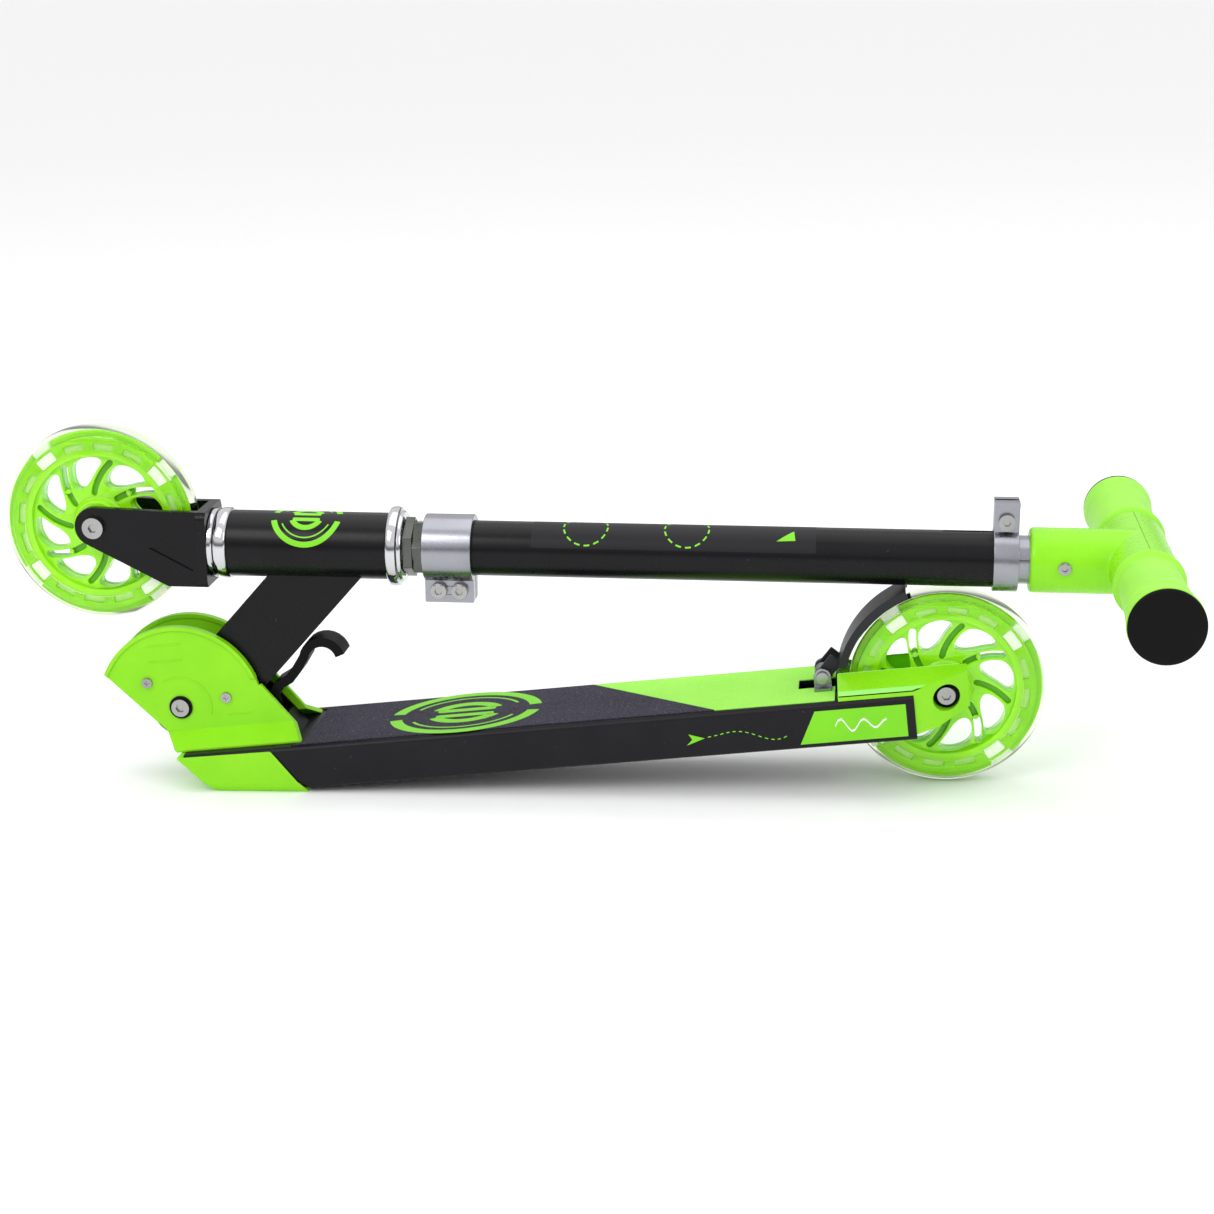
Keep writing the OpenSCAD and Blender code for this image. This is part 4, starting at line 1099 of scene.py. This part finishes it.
@dataclass
class Headset:
    """The bright rings at both ends of the head tube, as (radius, place along the column) lines."""

    places: Places
    bore: float = 16.0
    rings: dict = field(default_factory=lambda: {
        "crown_race": ((20.6, 21.7), (21.0, 22.1), (21.0, 24.2), (20.4, 24.9), (17.4, 25.0)),
        "lower_headset_cup": ((17.6, 25.5), (20.3, 25.5), (20.9, 26.0), (21.3, 27.5), (21.5, 29.5),
                              (21.55, 31.6), (21.2, 32.7), (20.4, 33.3)),
        "upper_headset_cup": ((20.6, 130.1), (22.4, 130.4), (23.6, 131.3), (23.95, 132.6), (23.95, 135.0),
                              (23.6, 136.6), (22.5, 137.3), (21.5, 137.5), (21.4, 138.6), (20.9, 139.4)),
    })

    def build(self) -> None:
        """Turn the three rings."""
        for node, line in self.rings.items():
            profile = [(self.bore, line[0][1]), *line, (self.bore, line[-1][1])]
            body = "steering_column" if node == "crown_race" else "head"
            ring = put(f"{node}_ring", lathe(profile, "X", 128), self.places.column, Finishes.chrome,
                       body, 40.0)
            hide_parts(node)


@dataclass
class Prints:
    """Printed marks on the deck, its sides, the head tube and the column, in millimetres."""

    places: Places
    deck_top: float = -24.4
    sheet: float = 0.8
    thick: float = 0.06
    deck_half: float = 39.5
    head_r: float = 20.0
    column_r: float = 16.5
    emblem_x: float = 172.0
    emblem_stretch: float = 1.22
    panel: tuple[Point2, ...] = ((217.0, -14.0), (385.0, -14.0), (385.0, 21.0), (217.0, 21.0))
    ring_middles: tuple[float, ...] = (249.0, 309.0)
    ring_span: Point2 = (12.6, 13.6)
    ring_dashes: int = 14
    corner: tuple[Point2, ...] = ((362.0, 14.0), (373.0, 13.4), (372.0, 6.0))
    arrow: tuple[Point2, ...] = ((309.0, -43.2), (320.0, -39.6), (310.6, -36.4), (312.6, -39.8))
    swoop_x: float = 322.0
    swoop_half: float = 0.28
    wave_half: float = 0.62

    def stroke(self, line: Sequence[Point2], half: float) -> list[Point2]:
        """Widen a line into an outline, half above and half below."""
        return [(x, z + half) for x, z in line] + [(x, z - half) for x, z in reversed(line)]

    def ring_mark(self, size: float, gap: float) -> list[list[Point2]]:
        """A plain ring mark: a broken outer ring, an inner ring and two bars.

        Args:
            size: The outer radius.
            gap: Half of each break of the outer ring, in degrees.

        Returns:
            The mark's outlines.
        """
        lines = [ring_sector(size * 0.84, size, gap, 180 - gap, 40),
                 ring_sector(size * 0.84, size, 180 + gap, 360 - gap, 40)]
        lines += [ring_sector(size * 0.70, size * 0.74, s, s + 130, 30) for s in (25, 205)]
        for s in (0, 180):
            lines.append(ring_sector(size * 0.34, size * 0.50, s + 24, s + 156, 24))
            lines.append(rounded([(0.12 * size * c, 0.07 * size * d + (0.13 if s else -0.13) * size)
                                  for c, d in ((-3.2, -1), (3.2, -1), (3.2, 1), (-3.2, 1))], size * 0.05))
        return lines

    def flat_place(self, side: Side) -> Matrix:
        """The place of a patch on one side of the deck, its second axis up."""
        turn = Matrix.Rotation(math.pi / 2, 4, "X")
        if side is Side.FAR:
            turn = Matrix.Scale(-1, 4, (0, 1, 0)) @ turn
        out = Matrix.Translation((0, side.value * (self.deck_half + 0.02) * MM, 0))
        return self.places.deck @ out @ turn

    def deck_emblem(self) -> None:
        """The green ring on the grip sheet."""
        patches = [print_patch(shifted(line, self.emblem_x, 0, self.emblem_stretch), None, self.thick)
                   for line in self.ring_mark(38.5, 9)]
        place = self.places.deck @ Matrix.Translation((0, 0, (self.deck_top + self.sheet + 0.01) * MM))
        put("deck_ring_print", joined(patches), place, Finishes.green_print, "deck_body")

    def head_emblem(self) -> None:
        """The green ring round the head tube."""
        patches = [print_patch(shifted(line, 81.0, 7.0), self.head_r, self.thick)
                   for line in self.ring_mark(21.5, 12)]
        put("head_ring_print", joined(patches), self.places.column, Finishes.green_print, "head")

    def column_marks(self) -> None:
        """The grey panel, dashed rings and corner mark along the column."""
        panel = print_patch(self.panel, self.column_r, self.thick / 2)
        put("column_panel_print", panel, self.places.column, Finishes.grey_print, "steering_column")
        patches = []
        for middle in self.ring_middles:
            for k in range(self.ring_dashes):
                start = k * 360 / self.ring_dashes
                arc = ring_sector(*self.ring_span, start, start + 15, 5)
                patches.append(print_patch(shifted(arc, middle, 6.0), self.column_r, self.thick))
        patches.append(print_patch(self.corner, self.column_r, self.thick))
        put("column_marks_print", joined(patches), self.places.column, Finishes.green_print,
            "steering_column")

    def side_marks(self) -> None:
        """A dashed swoop and an arrowhead on each side of the deck, and a pale stroke on each label."""
        for side in Side:
            patches = []
            for k in range(0, 26, 2):
                xs = [self.swoop_x + (k + i) * 1.85 for i in (0.0, 0.5, 1.0)]
                line = [(x, -39.0 + 4.6 * math.sin((x - self.swoop_x) / 8.2) * (x - 316.0) / 44.0)
                        for x in xs]
                patches.append(print_patch(self.stroke(line, -self.swoop_half), None, self.thick))
            patches.append(print_patch(self.arrow, None, self.thick))
            put(f"deck_side_print_{side.name.lower()}", joined(patches), self.flat_place(side),
                Finishes.green_print, "deck_body")
            wave = [(397 + 30 * t, -38.6 + 4.6 * math.sin(t * 14) * (1 - 0.55 * t))
                    for t in (k / 16 for k in range(17))]
            wide = self.stroke(wave, self.wave_half)
            place = self.flat_place(side) @ Matrix.Translation((0, 0, 0.3 * MM))
            put(f"label_stroke_{side.name.lower()}", print_patch(wide, None, self.thick), place,
                Finishes.white_print, "deck_body")

    def build(self) -> None:
        """Lay every print."""
        self.deck_emblem()
        self.head_emblem()
        self.column_marks()
        self.side_marks()


@dataclass
class TailDetails:
    """The pale sheets on top of the dropouts, and a dark ring of painted shade in the rear axle bolt's
    recess, in millimetres.
    """

    places: Places
    top: float = -24.4
    inner: float = 14.2
    outer: float = 37.5
    rise_in: float = 10.4
    rise_out: float = 2.2
    slope_from: float = 12.5
    sheet: float = 0.16
    front: float = 62.2
    shoulder: float = 18.9
    behind: float = 10.6
    tip: float = 22.9
    # The dark ring of painted shade in the axle bolt's recess, as (radius, place along the axle) points.
    recess_shade_ring: tuple[Point2, ...] = ((5.45, -22.7), (7.75, -22.7), (7.75, -22.05), (5.45, -22.05))

    def sheet_slab(self, side: Side, inset: float, low: float, high: float) -> bmesh.types.BMesh:
        """A thin slab on the sloping top of one dropout.

        Args:
            side: The side of the scooter.
            inset: How far its outer edges lie inside the dropout's.
            low: The height of its underside over the dropout.
            high: The height of its top over the dropout.

        Returns:
            The slab's bmesh, in the deck's own coordinates.
        """
        reach = self.places.axle_reach
        outer = self.outer - inset
        front, end = reach - self.front, reach + self.behind - inset
        line = [(front, self.inner), (front, outer), (reach - self.shoulder - inset * 0.4, outer),
                (end, self.tip - inset * 0.6), (end, self.inner)]
        slope = (self.rise_out - self.rise_in) / (self.outer - self.slope_from)
        bm = bmesh.new()
        lower = []
        for x, y in line:
            height = self.top + self.rise_in + (y - self.slope_from) * slope
            lower.append(bm.verts.new((x, side.value * y, height + low)))
        top = bmesh.ops.extrude_face_region(bm, geom=[bm.faces.new(lower)])
        for item in top["geom"]:
            if isinstance(item, bmesh.types.BMVert):
                item.co.z += high - low
        return bm

    def build(self) -> None:
        """Lay the sheets on dark slabs whose thin rims are a painted shadow line, and seat the ring of
        painted shade at the axle bolt.
        """
        for side in Side:
            word = side.name.lower()
            # A dark slab reaching 1 mm past the pale sheet's edges: the rim that shows is a painted shadow
            # line.
            slab = self.sheet_slab(side, 0.25, 0.02, self.sheet * 0.5)
            put(f"tail_sheet_backing_{word}", slab, self.places.deck, Finishes.black_plastic, "deck_body")
            slab = self.sheet_slab(side, 1.25, self.sheet * 0.55, self.sheet)
            put(f"tail_sheet_{word}", slab, self.places.deck, Finishes.pale_sheet, "deck_body")
        # A dark ring round the rear axle bolt: painted shade in the bolt's recess.
        put("rear_axle_seat_washer", lathe(self.recess_shade_ring, "Y", 64), Matrix.Translation(self.places.rear_axle),
            Finishes.black_plastic, "deck_body")


@dataclass
class HingeDetails:
    """Raised lines moulded into the hinge covers."""

    places: Places
    cover_out: float = 16.44
    line: float = 0.9
    proud: float = 0.22
    arc_r: float = 18.6
    bars: tuple[tuple[float, float, float], ...] = ((36.0, -7.4, 15.0), (-5.0, 29.5, 22.0),
                                                    (-5.0, 39.5, 22.0))

    def build(self) -> None:
        """Make the raised arcs and bars on both covers."""
        for side in Side:
            centre = side.value * (self.cover_out + self.proud / 2)
            arc = ring_sector(self.arc_r, self.arc_r + self.line, -20, 118, 24)
            parts = [plate(arc, [], self.proud, 0.1, centre)]
            for x, z, width in self.bars:
                left, right, top = x - width / 2, x + width / 2, z + self.line
                bar = [(left, z), (right, z), (right, top), (left, top)]
                parts.append(plate(rounded(bar, 0.3, 2), [], self.proud, 0.1, centre))
            put(f"hinge_cover_lines_{side.name.lower()}", joined(parts), self.places.deck,
                Finishes.lime_plastic, "deck_body")


@dataclass
class FrameDress:
    """The finishes of the nodes that show as the frame has them, and their softened edges in mm."""

    bevels: dict = field(default_factory=lambda: {
        "deck": 0.7, "grip_tape": 0.1, "rear_grip_panel": 0.15, "side_labels": 0.05, "nose_cap": 0.9,
        "hinge_cover_left": 0.0, "hinge_cover_right": 0.0, "rear_dropout_left": 0.8,
        "rear_dropout_right": 0.8, "neck": 0.6, "fork": 0.9, "latch_lever": 0.7, "brake_fender": 0.4,
        "lower_clamp": 0.5, "height_clamp": 0.4, "quick_release_lever": 0.6, "headset_nuts": 0.5,
        "column_tube": 0.25, "head_tube": 0.4, "brake_spring": 0.0, "latch_spring": 0.0,
    })

    def build(self, frame: dict) -> None:
        """Dress every node.
        """
        finishes = {made.name: made for made in vars(Finishes).values() if isinstance(made, Finish)}
        slots = {part["node"]: part["material_slot"] for part in frame["record"]["subparts"]}
        for name, node in frame["nodes"].items():
            finish = Finishes.lime_cover if name.startswith("hinge_cover") else finishes[slots[name]]
            dress_node(node, finish.material(), self.bevels.get(name, 0.25))
            log.info("%s: %s", name, finish.name)


def main() -> None:
    """Load the frame and build the scooter's looks in order."""
    logging.basicConfig(level=logging.INFO, format="%(name)s %(message)s")
    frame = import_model()
    StudioCamera().build()
    Studio().build(Finishes.studio_floor)
    places = Places(frame)
    FrameDress().build(frame)
    Wheel("rear_wheel", "rear_wheel", places.rear_axle).build()
    Wheel("front_wheel", "front_wheel", places.front_axle).build()
    Headset(places).build()
    Handlebar(places).build()
    HingeDetails(places).build()
    TailDetails(places).build()
    Prints(places).build()


if __name__ == "__main__":
    main()
